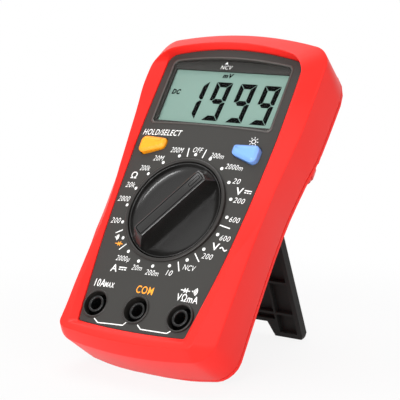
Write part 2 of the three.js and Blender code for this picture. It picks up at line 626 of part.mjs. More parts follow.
// Display stack: glass, frame, contact strip and light guide between the panel's seat and the board
const lcdTopZ = seatUnderZ - GAP;
const lcdLowZ = lcdTopZ - lcd.thickness;
const frameReach = GAP + lcdFrame.wall;
add("lcd_glass", block(-lcdHalf, lcdHalf, lcd.bottom, lcd.top, lcdLowZ, lcdTopZ), lcdGreen);
add("lcd_frame", shaped(
  block(-lcdHalf - frameReach, lcdHalf + frameReach, lcd.bottom - frameReach, lcd.top + frameReach,
    board.frontZ + GAP, lcdTopZ),
  [],
  [block(-lcdHalf - GAP, lcdHalf + GAP, lcd.bottom - GAP, lcd.top + GAP,
    board.frontZ - OVERRUN, lcdTopZ + OVERRUN)],
), blackPlastic);
add("contact_strip", block(-lcdHalf + zebra.sideMargin, lcdHalf - zebra.sideMargin,
  lcd.bottom, lcd.bottom + zebra.width, board.frontZ + GAP, lcdLowZ - GAP), rubberGrey);
add("light_guide", block(-lcdHalf + lightGuide.margin, lcdHalf - lightGuide.margin,
  lcd.bottom + zebra.width + GAP, lcd.top - lightGuide.margin, lcdLowZ - GAP - lightGuide.thickness,
  lcdLowZ - GAP), creamPlastic);

// Keys: a bevelled cap with a flange that stops under the panel, and the plunger that it pushes
const keyFlangeTop = flangeLowZ + panel.flangeDepth - GAP;
const keyFlangeLow = keyFlangeTop - keyCap.flangeDepth;
const stemLow = keyFlangeLow - keyCap.stemLength;
const switchTop = board.frontZ + GAP + keySwitch.bodyHeight;
const keyCentre = [(keyInner + keyOuter) / 2, keyMiddle];

function keyGeometry(side) {
  const shoulder = keyCap.height - keyCap.bevelHeight;
  const cap = lofted([
    atHeight(keyOutline(side), keyFlangeLow),
    atHeight(keyOutline(side), 0),
    atHeight(keyOutline(side, -keyCap.bevel / 4), shoulder),
    atHeight(keyOutline(side, -keyCap.bevel), keyCap.height),
  ]);
  const flange = plate(keyOutline(side, keyCap.flange), keyFlangeLow, keyFlangeTop);
  const stem = rod(keyCap.stemRadius, stemLow, keyFlangeLow + OVERRUN, SMALL, side * keyCentre[0], keyCentre[1]);
  return shaped(cap, [flange, stem]);
}

function switchBody(side) {
  const [x, y] = [side * keyCentre[0], keyCentre[1]];
  const half = keySwitch.width / 2;
  const body = block(x - half, x + half, y - half, y + half, board.frontZ + GAP, switchTop);
  const bore = rod(keySwitch.bore, board.frontZ + GAP + keySwitch.boreFloor, switchTop + OVERRUN, SMALL, x, y);
  return shaped(body, [], [bore]);
}

for (const [side, word, material] of [[-1, "hold", yellowPlastic], [1, "light", bluePlastic]]) {
  const [x, y] = [side * keyCentre[0], keyCentre[1]];
  const plungerLow = board.frontZ + GAP + keySwitch.boreFloor + keyCap.travel + GAP;
  add(`${word}_button`, keyGeometry(side), material);
  add(`${word}_switch_body`, switchBody(side), epoxy);
  add(`${word}_switch_plunger`, rod(keySwitch.plungerRadius, plungerLow, stemLow - GAP, SMALL, x, y), creamPlastic);
}

// Dial: a dished knob with a grip ridge across it, turned to one of the dial's positions
const turning = new THREE.Group();
turning.rotation.z = -POINTER_STEPS * DIAL_STEP;
face.add(turning);

function dialGeometry() {
  const wall = (shares, height) => shares.map(([inset, share]) => [
    dial.rimRadius - inset * dial.rimWidth, share * height]);
  const bowl = turned([
    [0, dial.dishZ], [dial.dishRadius, dial.dishZ], ...wall(dishWallShares, dial.dishZ),
    ...wall(rimShares, dial.rimZ), [dial.rimRadius, dial.skirtZ],
    [dial.rimRadius - dial.skirtWall, dial.skirtZ], [dial.rimRadius - dial.skirtWall, dial.dishZ - dial.floor],
    [dial.hubRadius, dial.dishZ - dial.floor], [dial.hubRadius, dial.dishZ - dial.floor - dial.hubLength],
    [0, dial.dishZ - dial.floor - dial.hubLength],
  ], FINE);
  const step = (head, tail, half, z) => {
    const roundEnd = half * ridge.endShare;
    return atHeight([[-half, head - roundEnd], [0, head], [half, head - roundEnd],
      [half, -tail + roundEnd], [0, -tail], [-half, -tail + roundEnd]], z);
  };
  const grip = lofted([
    step(ridge.baseLength, ridge.baseLength, ridge.baseHalfWidth, dial.dishZ - dial.floor / 2),
    step(ridge.baseLength, ridge.baseLength, ridge.baseHalfWidth - ridge.edge, dial.rimZ),
    step(ridge.headLength, ridge.tailLength, ridge.topHalfWidth, ridge.topZ - ridge.edge / 2),
    step(ridge.headLength - ridge.edge, ridge.tailLength - ridge.edge,
      ridge.topHalfWidth - ridge.edge / 2, ridge.topZ),
  ]);
  const slotTop = ridge.headLength - ridge.edge - ridge.slotInset;
  const slot = block(-ridge.slotWidth / 2, ridge.slotWidth / 2, slotTop - ridge.slotLength, slotTop,
    ridge.topZ - ridge.slotDepth, ridge.topZ + OVERRUN);
  return shaped(bowl, [grip], [slot]);
}
add("dial_knob", dialGeometry(), blackPlastic, turning);

const rotorLowZ = rotor.topZ - rotor.thickness;
const ballZ = rotor.topZ - rotor.thickness / 2;
const holeFloor = rotor.radius - rotor.ballHoleDepth;

/** Lay a part that was made along +Z out along the dial's radius at a given angle. */
function radial(geometry, angle, radius) {
  return geometry.rotateX(-Math.PI / 2).translate(0, radius, ballZ).rotateZ(angle);
}
const ballAngles = [DIAL_STEP * 5, -DIAL_STEP * 5];
const rotorHub = dial.hubRadius + GAP;
add("switch_rotor", shaped(
  tube(rotor.radius, rotorHub, rotorLowZ, rotor.topZ, FINE), [],
  ballAngles.map((angle) => radial(rod(rotor.ballHole, 0, rotor.ballHoleDepth + OVERRUN, SMALL), angle, holeFloor)),
), creamPlastic, turning);
const ballRadius = dial.rimRadius - collar.notchDepth / 2 - GAP - ball.radius;
ballAngles.forEach((angle, i) => {
  const sphere = new THREE.SphereGeometry(ball.radius, ball.sections, ball.rings);
  add(`detent_ball_${i + 1}`, radial(sphere, angle, ballRadius), steel, turning);
  const springEnd = ballRadius - ball.radius - GAP - holeFloor;
  add(`detent_spring_${i + 1}`, radial(
    coil(ballSpring.radius, ballSpring.wire, ballSpring.turns, GAP, springEnd), angle, holeFloor), steel, turning);
});
for (let i = 0; i < wiper.count; i += 1) {
  const topZ = rotorLowZ - GAP / 2;
  const bent = plate([[-wiper.length / 2, 0], [-wiper.length / 4, -wiper.bow], [wiper.length / 4, -wiper.bow],
    [wiper.length / 2, 0], [wiper.length / 2, -wiper.thickness], [wiper.length / 4, -wiper.bow - wiper.thickness],
    [-wiper.length / 4, -wiper.bow - wiper.thickness], [-wiper.length / 2, -wiper.thickness]],
  -wiper.width / 2, wiper.width / 2);
  const angle = (2 * Math.PI * i) / wiper.count;
  bent.rotateX(Math.PI / 2).translate(0, wiper.ring, topZ).rotateZ(angle);
  add(`wiper_contact_${i + 1}`, bent, brass, turning);
}

// Board, with holes for the dial's hub, the three sockets and the screws
function boardGeometry() {
  const corners = [[-boardTopHalf, board.top], [-boardTopHalf, keyBox.low], [-boardBottomHalf, board.bottom],
    [boardBottomHalf, board.bottom], [boardTopHalf, keyBox.low], [boardTopHalf, board.top]];
  const through = (radius, sides, x, y) => (
    rod(radius, boardBackZ - OVERRUN, board.frontZ + OVERRUN, sides, x, y));
  return shaped(plate(corners, boardBackZ, board.frontZ), [], [
    through(board.shaftHole, ROUND, 0, 0),
    ...jackPlaces.map((x) => through(socketOuter + GAP, SMALL, x, jack.y)),
    ...boardScrewPlaces.map(([x, y]) => through(boardScrew.shankRadius + GAP, SMALL, x, y)),
  ]);
}
add("circuit_board", boardGeometry(), boardGreen);
boardScrewPlaces.forEach(([x, y], i) => {
  const headZ = boardBackZ - GAP - boardScrew.headHeight;
  add(`board_screw_${i + 1}`, screw(boardScrew, x, y, headZ), steel);
});

// Input jacks: a black block with three wells and their tubes, and a brass socket in each tube
const blockLowZ = board.frontZ + GAP;
const wellFloorZ = blockLowZ + jack.floor;
function jackBlock() {
  const wellWall = jack.wellRadius + jack.wellWall;
  const topZ = flangeLowZ - GAP;
  const baseHalf = jackSpacing + wellWall;
  const base = block(-baseHalf, baseHalf, jack.y - wellWall / 2, jack.y + wellWall / 2, blockLowZ, wellFloorZ);
  const cups = jackPlaces.map((x) => rod(wellWall, blockLowZ, topZ, ROUND, x, jack.y));
  const wells = jackPlaces.map((x) => rod(jack.wellRadius, wellFloorZ, topZ + OVERRUN, ROUND, x, jack.y));
  const tubes = jackPlaces.map((x) => rod(jack.tubeRadius, blockLowZ, jack.tubeTopZ, ROUND, x, jack.y));
  const lips = jackPlaces.map((x) => (
    rod(jack.boreRadius, jack.tubeTopZ - jack.lipDepth - OVERRUN, jack.tubeTopZ + OVERRUN, ROUND, x, jack.y)));
  const bores = jackPlaces.map((x) => (
    rod(socketOuter + GAP / 2, blockLowZ - OVERRUN, jack.tubeTopZ - jack.lipDepth, ROUND, x, jack.y)));
  return shaped(shaped(base, cups, wells), tubes, [...lips, ...bores]);
}
add("jack_block", jackBlock(), blackPlastic);
jackPlaces.forEach((x, i) => {
  const topZ = jack.tubeTopZ - jack.lipDepth - GAP;
  const solderTop = boardBackZ - GAP;
  add(jackNames[i], turned([
    [jack.socketBore, jack.socketEndZ], [socketOuter, jack.socketEndZ], [socketOuter, solderTop - jack.solderHeight],
    [jack.solderRadius, solderTop - jack.solderHeight], [jack.solderRadius, solderTop], [socketOuter, solderTop],
    [socketOuter, topZ], [jack.socketBore, topZ], [jack.socketBore, jack.socketEndZ],
  ], SMALL, x, jack.y), brass);
});

// Parts on the back of the board
const underZ = boardBackZ - GAP;

/** A round bar that lies along the face's Y axis. */
function lying(profile, sides, x, y, z) {
  return turned(profile, sides).rotateX(-Math.PI / 2).translate(x, y, z);
}

function fuseAt(name, x) {
  const half = fuse.length / 2;
  const z = underZ - fuse.clipThickness - 2 * GAP - fuse.radius;
  const neck = fuse.radius * fuse.neckShare;
  add(name, lying([[0, -half], [fuse.radius, -half], [fuse.radius, -half + fuse.capLength],
    [neck, -half + fuse.capLength], [neck, half - fuse.capLength], [fuse.radius, half - fuse.capLength],
    [fuse.radius, half], [0, half]], SMALL, x, fuse.y, z), glassClear);
  const inner = fuse.radius + GAP;
  const outer = inner + fuse.clipThickness;
  for (const [end, word] of [[-1, "lower"], [1, "upper"]]) {
    const y = fuse.y + end * (half - fuse.clipWidth / 2);
    const low = z - fuse.radius;
    const cup = block(x - outer, x + outer, y - fuse.clipWidth / 2, y + fuse.clipWidth / 2, low, underZ);
    const room = block(x - inner, x + inner, y - fuse.clipWidth, y + fuse.clipWidth, low - OVERRUN,
      underZ - fuse.clipThickness);
    add(`${name}_${word}_clip`, shaped(cup, [], [room]), brass);
  }
}
const fuseX = bayHalfWidth + bay.wall + fuse.bayClearance + fuse.clipThickness + GAP + fuse.radius;
fuseAt("fuse_10_amp", -fuseX);
fuseAt("fuse_milliamp", fuseX);

function shuntWire() {
  const half = jackSpacing / 2 - jack.solderRadius - shunt.clearance;
  const bend = shunt.drop / 3;
  const path = new THREE.CatmullRomCurve3([
    [-half, 0], [-half, -shunt.drop + bend], [-half + bend, -shunt.drop], [half - bend, -shunt.drop],
    [half, -shunt.drop + bend], [half, 0],
  ].map(([x, z]) => new THREE.Vector3(x - jackSpacing / 2, jack.y, underZ + z)));
  const section = new THREE.Shape();
  section.absarc(0, 0, shunt.wire, 0, 2 * Math.PI);
  return new THREE.ExtrudeGeometry(section, { extrudePath: path, steps: 10, curveSegments: 3 });
}
add("shunt_wire", shuntWire(), brass);

add("measuring_chip", plate(bevelled(chip.x - chip.size / 2, chip.x + chip.size / 2, chip.y - chip.size / 2,
  chip.y + chip.size / 2, chip.height / 2), underZ - chip.height, underZ), epoxy);
add("buzzer", shaped(rod(buzzer.radius, underZ - buzzer.height, underZ, ROUND, buzzer.x, buzzer.y), [], [
  rod(buzzer.soundHole, underZ - buzzer.height - OVERRUN, underZ - buzzer.height / 2, SMALL, buzzer.x, buzzer.y),
]), epoxy);
add("protection_thermistor", rod(thermistor.radius, -thermistor.thickness / 2, thermistor.thickness / 2, ROUND)
  .rotateX(Math.PI / 2).translate(thermistor.edge - boardTopHalf, thermistor.y, underZ - thermistor.radius), orangeCoat);
const trimmerX = boardTopHalf - trimmer.edge;
add("calibration_trimmer", shaped(
  block(trimmerX - trimmer.size / 2, trimmerX + trimmer.size / 2, trimmer.y - trimmer.size / 2,
    trimmer.y + trimmer.size / 2, underZ - trimmer.height, underZ), [],
  [block(trimmerX - trimmer.size / 4, trimmerX + trimmer.size / 4, trimmer.y - trimmer.slotWidth / 2,
    trimmer.y + trimmer.slotWidth / 2, underZ - trimmer.height - OVERRUN,
    underZ - trimmer.height + trimmer.slotDepth)],
), bluePlastic);
add("filter_capacitor", turned([[0, -capacitor.length / 2], [capacitor.radius, -capacitor.length / 2],
  [capacitor.radius, capacitor.length / 2 - capacitor.topBevel],
  [capacitor.radius - capacitor.topBevel, capacitor.length / 2], [0, capacitor.length / 2]], ROUND)
  .rotateY(Math.PI / 2).translate(capacitor.x, capacitor.y, underZ - capacitor.radius), cellSkin);
add("field_sensor_plate", block(-sensor.width / 2, sensor.width / 2, sensor.y, sensor.y + sensor.thickness,
  board.frontZ + GAP, board.frontZ + GAP + sensor.height), brass);

// Rear cover: a shallow pan with a raised middle that houses the stand, the battery bay and the probe clips
const doorInnerZ = recess.floorZ + door.thickness + GAP;
const cellZ = doorInnerZ + GAP + cell.radius;
const bayFloorZ = cellZ + cell.radius + GAP;

/** Height above the table of a point of the face's YZ plane, before the meter is set down. */
const heightOf = (y, z) => y * Math.cos(LEAN) + z * Math.sin(LEAN);
const tableHeight = heightOf(rearForm.bottom, rear.edgeZ) + rear.restDepth;
const hingeZ = rear.humpZ + stand.hingeInset;
const hingeHeight = tableHeight + stand.length * Math.cos(STAND_SPREAD);
const hinge = { y: (hingeHeight - hingeZ * Math.sin(LEAN)) / Math.cos(LEAN), z: hingeZ };
const recessHalf = standHalf + stand.footFlare + recess.side;
const recessTop = hinge.y + recess.above;
const recessBottom = hinge.y - stand.length - recess.below;

/** A slab below the table plane that trims what rests on it flat. */
function belowTable() {
  const reach = 2 * shell.length;
  const slab = block(-reach, reach, -reach, reach, -reach, 0);
  return slab.rotateX(LEAN - Math.PI / 2).translate(
    0, tableHeight * Math.cos(LEAN), tableHeight * Math.sin(LEAN));
}

/** The C-shaped clip for a test probe on one side, open to the rear, as its plain length and its ribs. */
function clipGeometry(side) {
  const [openFrom, openTo] = [holder.openFrom, holder.openTo].map(THREE.MathUtils.degToRad);
  const sweep = 2 * Math.PI - (openTo - openFrom);
  const arc = (radius, from, turn) => Array.from({ length: CLIP_STEPS + 1 }, (_, i) => {
    const angle = from + (turn * i) / CLIP_STEPS;
    return [radius * Math.cos(angle) * side, radius * Math.sin(angle)];
  });
  const ring = (outer, y0, y1) => {
    const points = [...arc(outer, openTo, sweep), ...arc(holder.bore, openTo + sweep, -sweep)];
    return plate(points, y0, y1).rotateX(-Math.PI / 2).translate(side * (humpHalf - holder.sideMargin), 0, holder.z);
  };
  const outer = holder.bore + holder.wall;
  const pitch = holder.length / holder.ribs;
  const ribs = Array.from({ length: holder.ribs }, (_, i) => {
    const y = holder.bottom + pitch * (i + 0.5);
    return ring(outer + holder.ribHeight, y - holder.ribWidth / 2, y + holder.ribWidth / 2);
  });
  return [ring(outer, holder.bottom, holder.bottom + holder.length), ...ribs];
}

function rearCover() {
  const rimZ = shell.partingZ - GAP;
  const pan = lofted([
    atHeight(outline(rearForm, -rear.innerInset), rear.backZ + rear.skin),
    atHeight(outline(rearForm, -shell.wall - rear.facetInset), rear.edgeZ - rear.restDepth),
    atHeight(outline(rearForm, -shell.wall), rimZ),
    atHeight(outline(rearForm), rimZ),
    atHeight(outline(rearForm), rear.edgeZ),
    atHeight(outline(rearForm, -rear.facetInset), rear.facetZ),
    atHeight(outline(rearForm, -rear.backInset), rear.backZ),
  ]);
  const humpOutline = (grow) => bevelled(-humpHalf - grow, humpHalf + grow,
    rear.humpBottom - grow, rear.humpTop + grow, rear.humpCorner);
  const hump = lofted([
    atHeight(humpOutline(0), rear.humpZ),
    atHeight(humpOutline(rear.humpSlope), rear.backZ + rear.skin / 2),
  ]);
  const upperRoom = plate(bevelled(-humpHalf + rear.humpWall, humpHalf - rear.humpWall,
    recessTop + rear.humpWall, rear.humpTop - rear.humpWall, rear.humpCorner),
  rear.humpZ + rear.humpWall, rear.backZ + rear.skin + OVERRUN);
  const standRoom = block(-recessHalf, recessHalf, recessBottom, recessTop, rear.humpZ - OVERRUN, recess.floorZ);
  const hingeHoles = rod(stand.trunnionRadius + GAP, -recessHalf - stand.trunnionLength,
    recessHalf + stand.trunnionLength, SMALL).rotateY(Math.PI / 2).translate(0, hinge.y, hinge.z);
  const bayBox = block(-bayHalfWidth - bay.wall, bayHalfWidth + bay.wall, bayBottom - bay.wall,
    bayTop + bay.wall, rear.backZ, bayFloorZ + bay.wall);
  const bayRoom = block(-bayHalfWidth, bayHalfWidth, bayBottom, bayTop, recess.floorZ - OVERRUN, bayFloorZ);
  const doorRoom = block(-bayHalfWidth - door.lip, bayHalfWidth + door.lip, bayBottom - door.lip,
    bayTop + door.lip, recess.floorZ - OVERRUN, doorInnerZ - GAP);
  const doorScrewY = bayBottom - door.screwInset - GAP;
  const tabRoom = block(-door.screwTab / 2, door.screwTab / 2, doorScrewY - door.screwTab / 2, bayBottom,
    recess.floorZ - OVERRUN, doorInnerZ - GAP);
  const doorScrewBore = rod(doorScrew.shankRadius + GAP, recess.floorZ, doorInnerZ + doorScrew.shankLength,
    SMALL, 0, doorScrewY);
  const doorBoss = rod(doorScrew.shankRadius + GAP + bossWall, rear.backZ, doorInnerZ + doorScrew.shankLength
    + bossWall, SMALL, 0, doorScrewY);
  const screwSeatZ = rimZ - shell.wall;
  const screwPads = caseScrewPlaces.map(([x, y]) => (
    rod(caseBoss.radius - GAP, screwSeatZ - shell.wall / 4, rimZ, SMALL, x, y)));
  const screwRooms = caseScrewPlaces.map(([x, y]) => (
    rod(caseScrew.headRadius + GAP, rear.backZ - OVERRUN, screwSeatZ, SMALL, x, y)));
  const screwBores = caseScrewPlaces.map(([x, y]) => (
    rod(caseScrew.shankRadius + GAP, screwSeatZ - OVERRUN, rimZ + OVERRUN, SMALL, x, y)));
  const clips = [1, -1].flatMap(clipGeometry);
  return shaped(pan, [hump, bayBox, doorBoss, ...screwPads, ...clips], [upperRoom, standRoom, hingeHoles,
    bayRoom, doorRoom, tabRoom, doorScrewBore, ...screwRooms, ...screwBores, belowTable()]);
}
add("rear_cover", rearCover(), redPlastic);
caseScrewPlaces.forEach(([x, y], i) => {
  const headZ = shell.partingZ - GAP - shell.wall - GAP - caseScrew.headHeight;
  add(`case_screw_${i + 1}`, screw(caseScrew, x, y, headZ), steel);
});

// Battery door with a screw tab, its screw, two cells and their contacts
const doorTabY = bayBottom - door.screwInset - GAP;
function doorGeometry() {
  const [zLow, zHigh] = [recess.floorZ, recess.floorZ + door.thickness];
  const half = bayHalfWidth + door.lip - GAP;
  const leaf = block(-half, half, bayBottom - door.lip + GAP, bayTop + door.lip - GAP, zLow, zHigh);
  const tabHalf = door.screwTab / 2 - GAP;
  const tab = block(-tabHalf, tabHalf, doorTabY - tabHalf, bayBottom, zLow, zHigh);
  const bore = rod(doorScrew.shankRadius + GAP, zLow - OVERRUN, zHigh + OVERRUN, SMALL, 0, doorTabY);
  const headRoom = rod(doorScrew.headRadius + GAP, zLow - OVERRUN, zLow + door.thickness / 2, SMALL, 0, doorTabY);
  return shaped(leaf, [tab], [bore, headRoom]);
}
add("battery_door", doorGeometry(), redPlastic);
add("battery_door_screw", screw(doorScrew, 0, doorTabY,
  recess.floorZ + door.thickness / 2 - GAP - doorScrew.headHeight), steel);

const cellHalf = cell.length / 2;
function cellGeometry(side) {
  const body = cellHalf - cell.nubHeight;
  const profile = [[0, -cellHalf], [cell.radius * cell.baseShare, -cellHalf],
    [cell.radius, -cellHalf + cell.nubHeight / 2], [cell.radius, body], [cell.nubRadius, body], [cell.nubRadius, cellHalf], [0, cellHalf]];
  const bar = turned(profile, ROUND).rotateX(side > 0 ? Math.PI / 2 : -Math.PI / 2);
  return bar.translate((side * cell.spacing) / 2, cellY, cellZ);
}
add("battery_cell_1", cellGeometry(-1), cellSkin);
add("battery_cell_2", cellGeometry(1), cellSkin);

/** A contact plate against an end wall of the bay: end is 1 at the top and -1 at the bottom. */
function contactPlate(x0, x1, end) {
  const wallY = end > 0 ? bayTop - GAP : bayBottom + GAP;
  const half = contact.width / 2;
  return block(x0, x1, wallY - end * contact.thickness, wallY, cellZ - half, cellZ + half);
}

/** A contact spring from its plate to the flat end of a cell. */
function contactSpring(side, end) {
  const room = bay.end - GAP - contact.thickness - GAP;
  const wound = coil(contact.springRadius, contact.springWire, contact.springTurns, 0, room - GAP);
  const turn = end > 0 ? Math.PI / 2 : -Math.PI / 2;
  const startY = end > 0 ? bayTop - GAP - contact.thickness - GAP : bayBottom + GAP + contact.thickness + GAP;
  return wound.rotateX(turn).translate((side * cell.spacing) / 2, startY, cellZ);
}
const plateHalf = contact.width / 2;
const cellX = cell.spacing / 2;
add("battery_link_plate", contactPlate(-cellX - plateHalf, cellX + plateHalf, -1), steel);
add("battery_plus_plate", contactPlate(-cellX - plateHalf, -cellX + plateHalf, 1), steel);
add("battery_minus_plate", contactPlate(cellX - plateHalf, cellX + plateHalf, 1), steel);
add("battery_link_spring", contactSpring(-1, -1), steel);
add("battery_minus_spring", contactSpring(1, 1), steel);

// Tilt stand: a ribbed flap on two trunnions, drawn folded and swung out until its foot meets the table
function standGeometry() {
  const outerZ = -stand.thickness / 2;
  const innerZ = stand.thickness / 2;
  const w = standHalf;
  const wide = w + stand.footFlare;
  const foot = -stand.length;
  const cut = stand.cornerCut;
  const profile = [[-w, 0], [w, 0], [wide, foot + cut], [wide - cut / 2, foot], [stand.notchFoot, foot],
    [stand.notchTop, foot + stand.notchDepth], [-stand.notchTop, foot + stand.notchDepth],
    [-stand.notchFoot, foot], [-wide + cut / 2, foot], [-wide, foot + cut]];
  const leaf = plate(profile, outerZ, innerZ);
  const barrel = rod(stand.thickness / 2, -w, w, SMALL).rotateY(Math.PI / 2);
  const pins = rod(stand.trunnionRadius, -w - stand.trunnionLength, w + stand.trunnionLength, SMALL)
    .rotateY(Math.PI / 2);
  const pocketZ = outerZ + stand.skin;
  const ribX = w * longRibShare;
  const [station1, station2] = crossRibShares.map((share) => share * stand.length);
  const columns = [[-w + stand.rim, -ribX - stand.ribWidth / 2],
    [-ribX + stand.ribWidth / 2, ribX - stand.ribWidth / 2],
    [ribX + stand.ribWidth / 2, w - stand.rim]];
  const clearOfNotch = foot + stand.notchDepth + stand.rim;
  const rows = [[-stand.thickness, -station1 + stand.ribWidth / 2],
    [-station1 - stand.ribWidth / 2, -station2 + stand.ribWidth / 2]];
  const pockets = columns.flatMap(([x0, x1]) => rows.map(([y1, y0]) => (
    block(x0, x1, y0, y1, pocketZ, innerZ + OVERRUN))));
  const lowest = -station2 - stand.ribWidth / 2;
  const middle = columns[1];
  pockets.push(block(middle[0], middle[1], clearOfNotch, lowest, pocketZ, innerZ + OVERRUN));
  for (const side of [1, -1]) {
    const inner = ribX + stand.ribWidth / 2;
    pockets.push(block(side * inner, side * (w - stand.rim), foot + stand.rim + cut / 2, lowest, pocketZ,
      innerZ + OVERRUN));
  }
  return shaped(leaf, [barrel, pins], pockets);
}

/** The stand in the face's frame, opened and trimmed flat where it rests on the table. */
function openStand() {
  const opened = standGeometry().rotateX(LEAN + STAND_SPREAD).translate(0, hinge.y, hinge.z);
  return shaped(opened, [], [belowTable()]);
}
add("tilt_stand", openStand(), standBlack);

// Lean the face back and set the meter down with the middle of its footprint at the origin
face.rotation.x = Math.PI / 2 - LEAN;
const meter = new THREE.Group();
meter.add(face);
meter.updateMatrixWorld(true);
const bounds = new THREE.Box3().setFromObject(meter, true);
const middle = bounds.getCenter(new THREE.Vector3());
face.position.set(-middle.x, -middle.y, -bounds.min.z);
meter.updateMatrixWorld(true);

export default meter;
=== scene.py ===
"""The looks of a handheld digital multimeter that leans back on its tilt stand.

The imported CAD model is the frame. Its curved pieces are replaced by finer surfaces worked out with numpy, its
plain pieces keep their shape and get a finish, and the print, the display and the studio are added here.

Sizes in the classes are millimetres in the face's frame: X runs across the face, Y up the face and Z out of
it, with zero at the dial's centre on the panel's surface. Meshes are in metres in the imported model's frame.
"""
from __future__ import annotations

import logging
import math
from dataclasses import dataclass, field
from enum import Enum
from typing import Any, Callable, Sequence

import bpy
import numpy as np
from mathutils import Matrix, Vector
from mathutils.geometry import delaunay_2d_cdt

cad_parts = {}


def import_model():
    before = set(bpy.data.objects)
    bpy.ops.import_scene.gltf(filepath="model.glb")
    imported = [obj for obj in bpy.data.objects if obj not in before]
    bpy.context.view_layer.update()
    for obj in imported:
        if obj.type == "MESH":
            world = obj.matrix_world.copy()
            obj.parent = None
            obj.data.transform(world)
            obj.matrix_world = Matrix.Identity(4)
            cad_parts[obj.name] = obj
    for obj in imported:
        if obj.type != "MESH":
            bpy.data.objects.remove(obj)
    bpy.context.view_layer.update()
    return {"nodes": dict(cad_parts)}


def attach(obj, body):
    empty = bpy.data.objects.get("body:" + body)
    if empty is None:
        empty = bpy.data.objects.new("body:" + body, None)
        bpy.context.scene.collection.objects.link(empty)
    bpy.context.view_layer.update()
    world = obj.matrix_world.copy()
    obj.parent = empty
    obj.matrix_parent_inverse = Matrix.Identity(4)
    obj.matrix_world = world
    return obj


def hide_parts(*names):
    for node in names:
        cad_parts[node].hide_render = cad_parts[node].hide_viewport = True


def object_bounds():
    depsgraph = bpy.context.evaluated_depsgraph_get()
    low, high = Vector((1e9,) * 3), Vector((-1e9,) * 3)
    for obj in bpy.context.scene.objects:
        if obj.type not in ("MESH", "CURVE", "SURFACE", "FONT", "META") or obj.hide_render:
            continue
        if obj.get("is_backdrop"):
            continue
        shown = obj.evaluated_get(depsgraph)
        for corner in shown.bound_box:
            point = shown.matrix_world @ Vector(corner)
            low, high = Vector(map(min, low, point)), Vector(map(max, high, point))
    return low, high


Array = np.ndarray
Pair = tuple[float, float]
Pairs = tuple[Pair, ...]
Triple = tuple[float, float, float]
Words = tuple[tuple[str, float, float, float, float], ...]
Inputs = dict[str | int, Any]
Tree = bpy.types.NodeTree
Socket = bpy.types.NodeSocket
Noises = Callable[[Tree, Any], tuple[Socket, Socket]]

LOG = logging.getLogger("meter")
MM = 0.001
TAU = 2 * math.pi
TINY = 1e-9
HALF_WIDTH = 38.5
CROWN_FALL = 2.96
CORNER_SHARE = 0.45


# Frame of the face


@dataclass(frozen=True)
class Face:
    """The face's own frame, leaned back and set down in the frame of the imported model."""

    lean: float = math.radians(35.3)
    set_back: float = -15.09903
    rise: float = 58.07626

    def to_world(self, points: Array) -> Array:
        """Turn points of the face into points of the model.

        Formula: y and z turn about X by the lean, then move by the place of the dial's centre.

        Args:
            points: (..., 3) millimetres in the face's frame.

        Returns:
            The same points in metres in the model's frame.
        """
        x, y, z = np.moveaxis(np.asarray(points, float), -1, 0)
        sine, cosine = math.sin(self.lean), math.cos(self.lean)
        depth = y * sine - z * cosine + self.set_back
        height = y * cosine + z * sine + self.rise
        return np.stack([x, depth, height], -1) * MM


# Curves and surfaces


def crown(x: Array) -> Array:
    """Height of the panel's face: a parabola across it, down by the crown's fall at the case's half width."""
    return -CROWN_FALL * (np.asarray(x, float) / HALF_WIDTH) ** 2


def follow(pairs: Pairs, place: Array) -> Array:
    """Read a smooth curve through pairs of place and value.

    Formula: cubic Hermite pieces whose slope at a pair is that of the line from the pair before it to the one
    after it.

    Args:
        pairs: place and value, with rising places.
        place: where to read the curve.

    Returns:
        The value at every place.
    """
    x, y = np.array(pairs, float).T
    every, last = np.arange(len(x)), len(x) - 1
    t = np.clip(place, x[0], x[-1])
    i = np.clip(np.searchsorted(x, t, side="left") - 1, 0, last - 1)
    near, far = np.maximum(every - 1, 0), np.minimum(every + 1, last)
    slope = (y[far] - y[near]) / (x[far] - x[near])
    span = x[i + 1] - x[i]
    s = (t - x[i]) / span
    rise = y[i] * (1 + 2 * s) * (1 - s) ** 2 + y[i + 1] * s * s * (3 - 2 * s)
    return rise + span * (slope[i] * s * (1 - s) ** 2 - slope[i + 1] * s * s * (1 - s))


def rounded(rings: Array, reach: Sequence[float], steps: int = 5, closed: bool = True) -> Array:
    """Round the corners of a section that runs through a stack of rings.

    Formula: each corner becomes a quadratic curve from a point on the line before it to one on the line after
    it, each at the corner's reach from it or at a set share of the line, whichever is nearer.

    Args:
        rings: (k, m, 3) stack of k rings of m points.
        reach: how far each corner's curve reaches, k numbers.
        steps: points on each curve.
        closed: whether the last ring joins the first.

    Returns:
        (n, m, 3) finer stack.
    """
    others = [np.roll(rings, 1, axis=0), np.roll(rings, -1, axis=0)]
    if not closed:
        others[0][0], others[1][-1] = rings[0], rings[-1]
    away, ends = np.array(reach, float)[:, None, None], []
    for other in others:
        length = np.maximum(np.linalg.norm(other - rings, axis=-1, keepdims=True), TINY)
        ends.append(rings + (other - rings) * np.minimum(away / length, CORNER_SHARE))
    start, end = ends
    t = np.linspace(0, 1, steps)[None, :, None, None]
    curve = (1 - t) ** 2 * start[:, None] + 2 * t * (1 - t) * rings[:, None] + t * t * end[:, None]
    return curve.reshape(-1, *rings.shape[1:])


def circle(radius: float, count: int) -> Array:
    """A flat ring of points, clockwise from straight up."""
    angle = np.arange(count) / count * TAU
    return radius * np.stack([np.sin(angle), np.cos(angle)], -1)


def toward(turn: float) -> Array:
    """The direction that lies a share of a whole turn clockwise from straight up."""
    return np.array([math.sin(turn * TAU), math.cos(turn * TAU)])


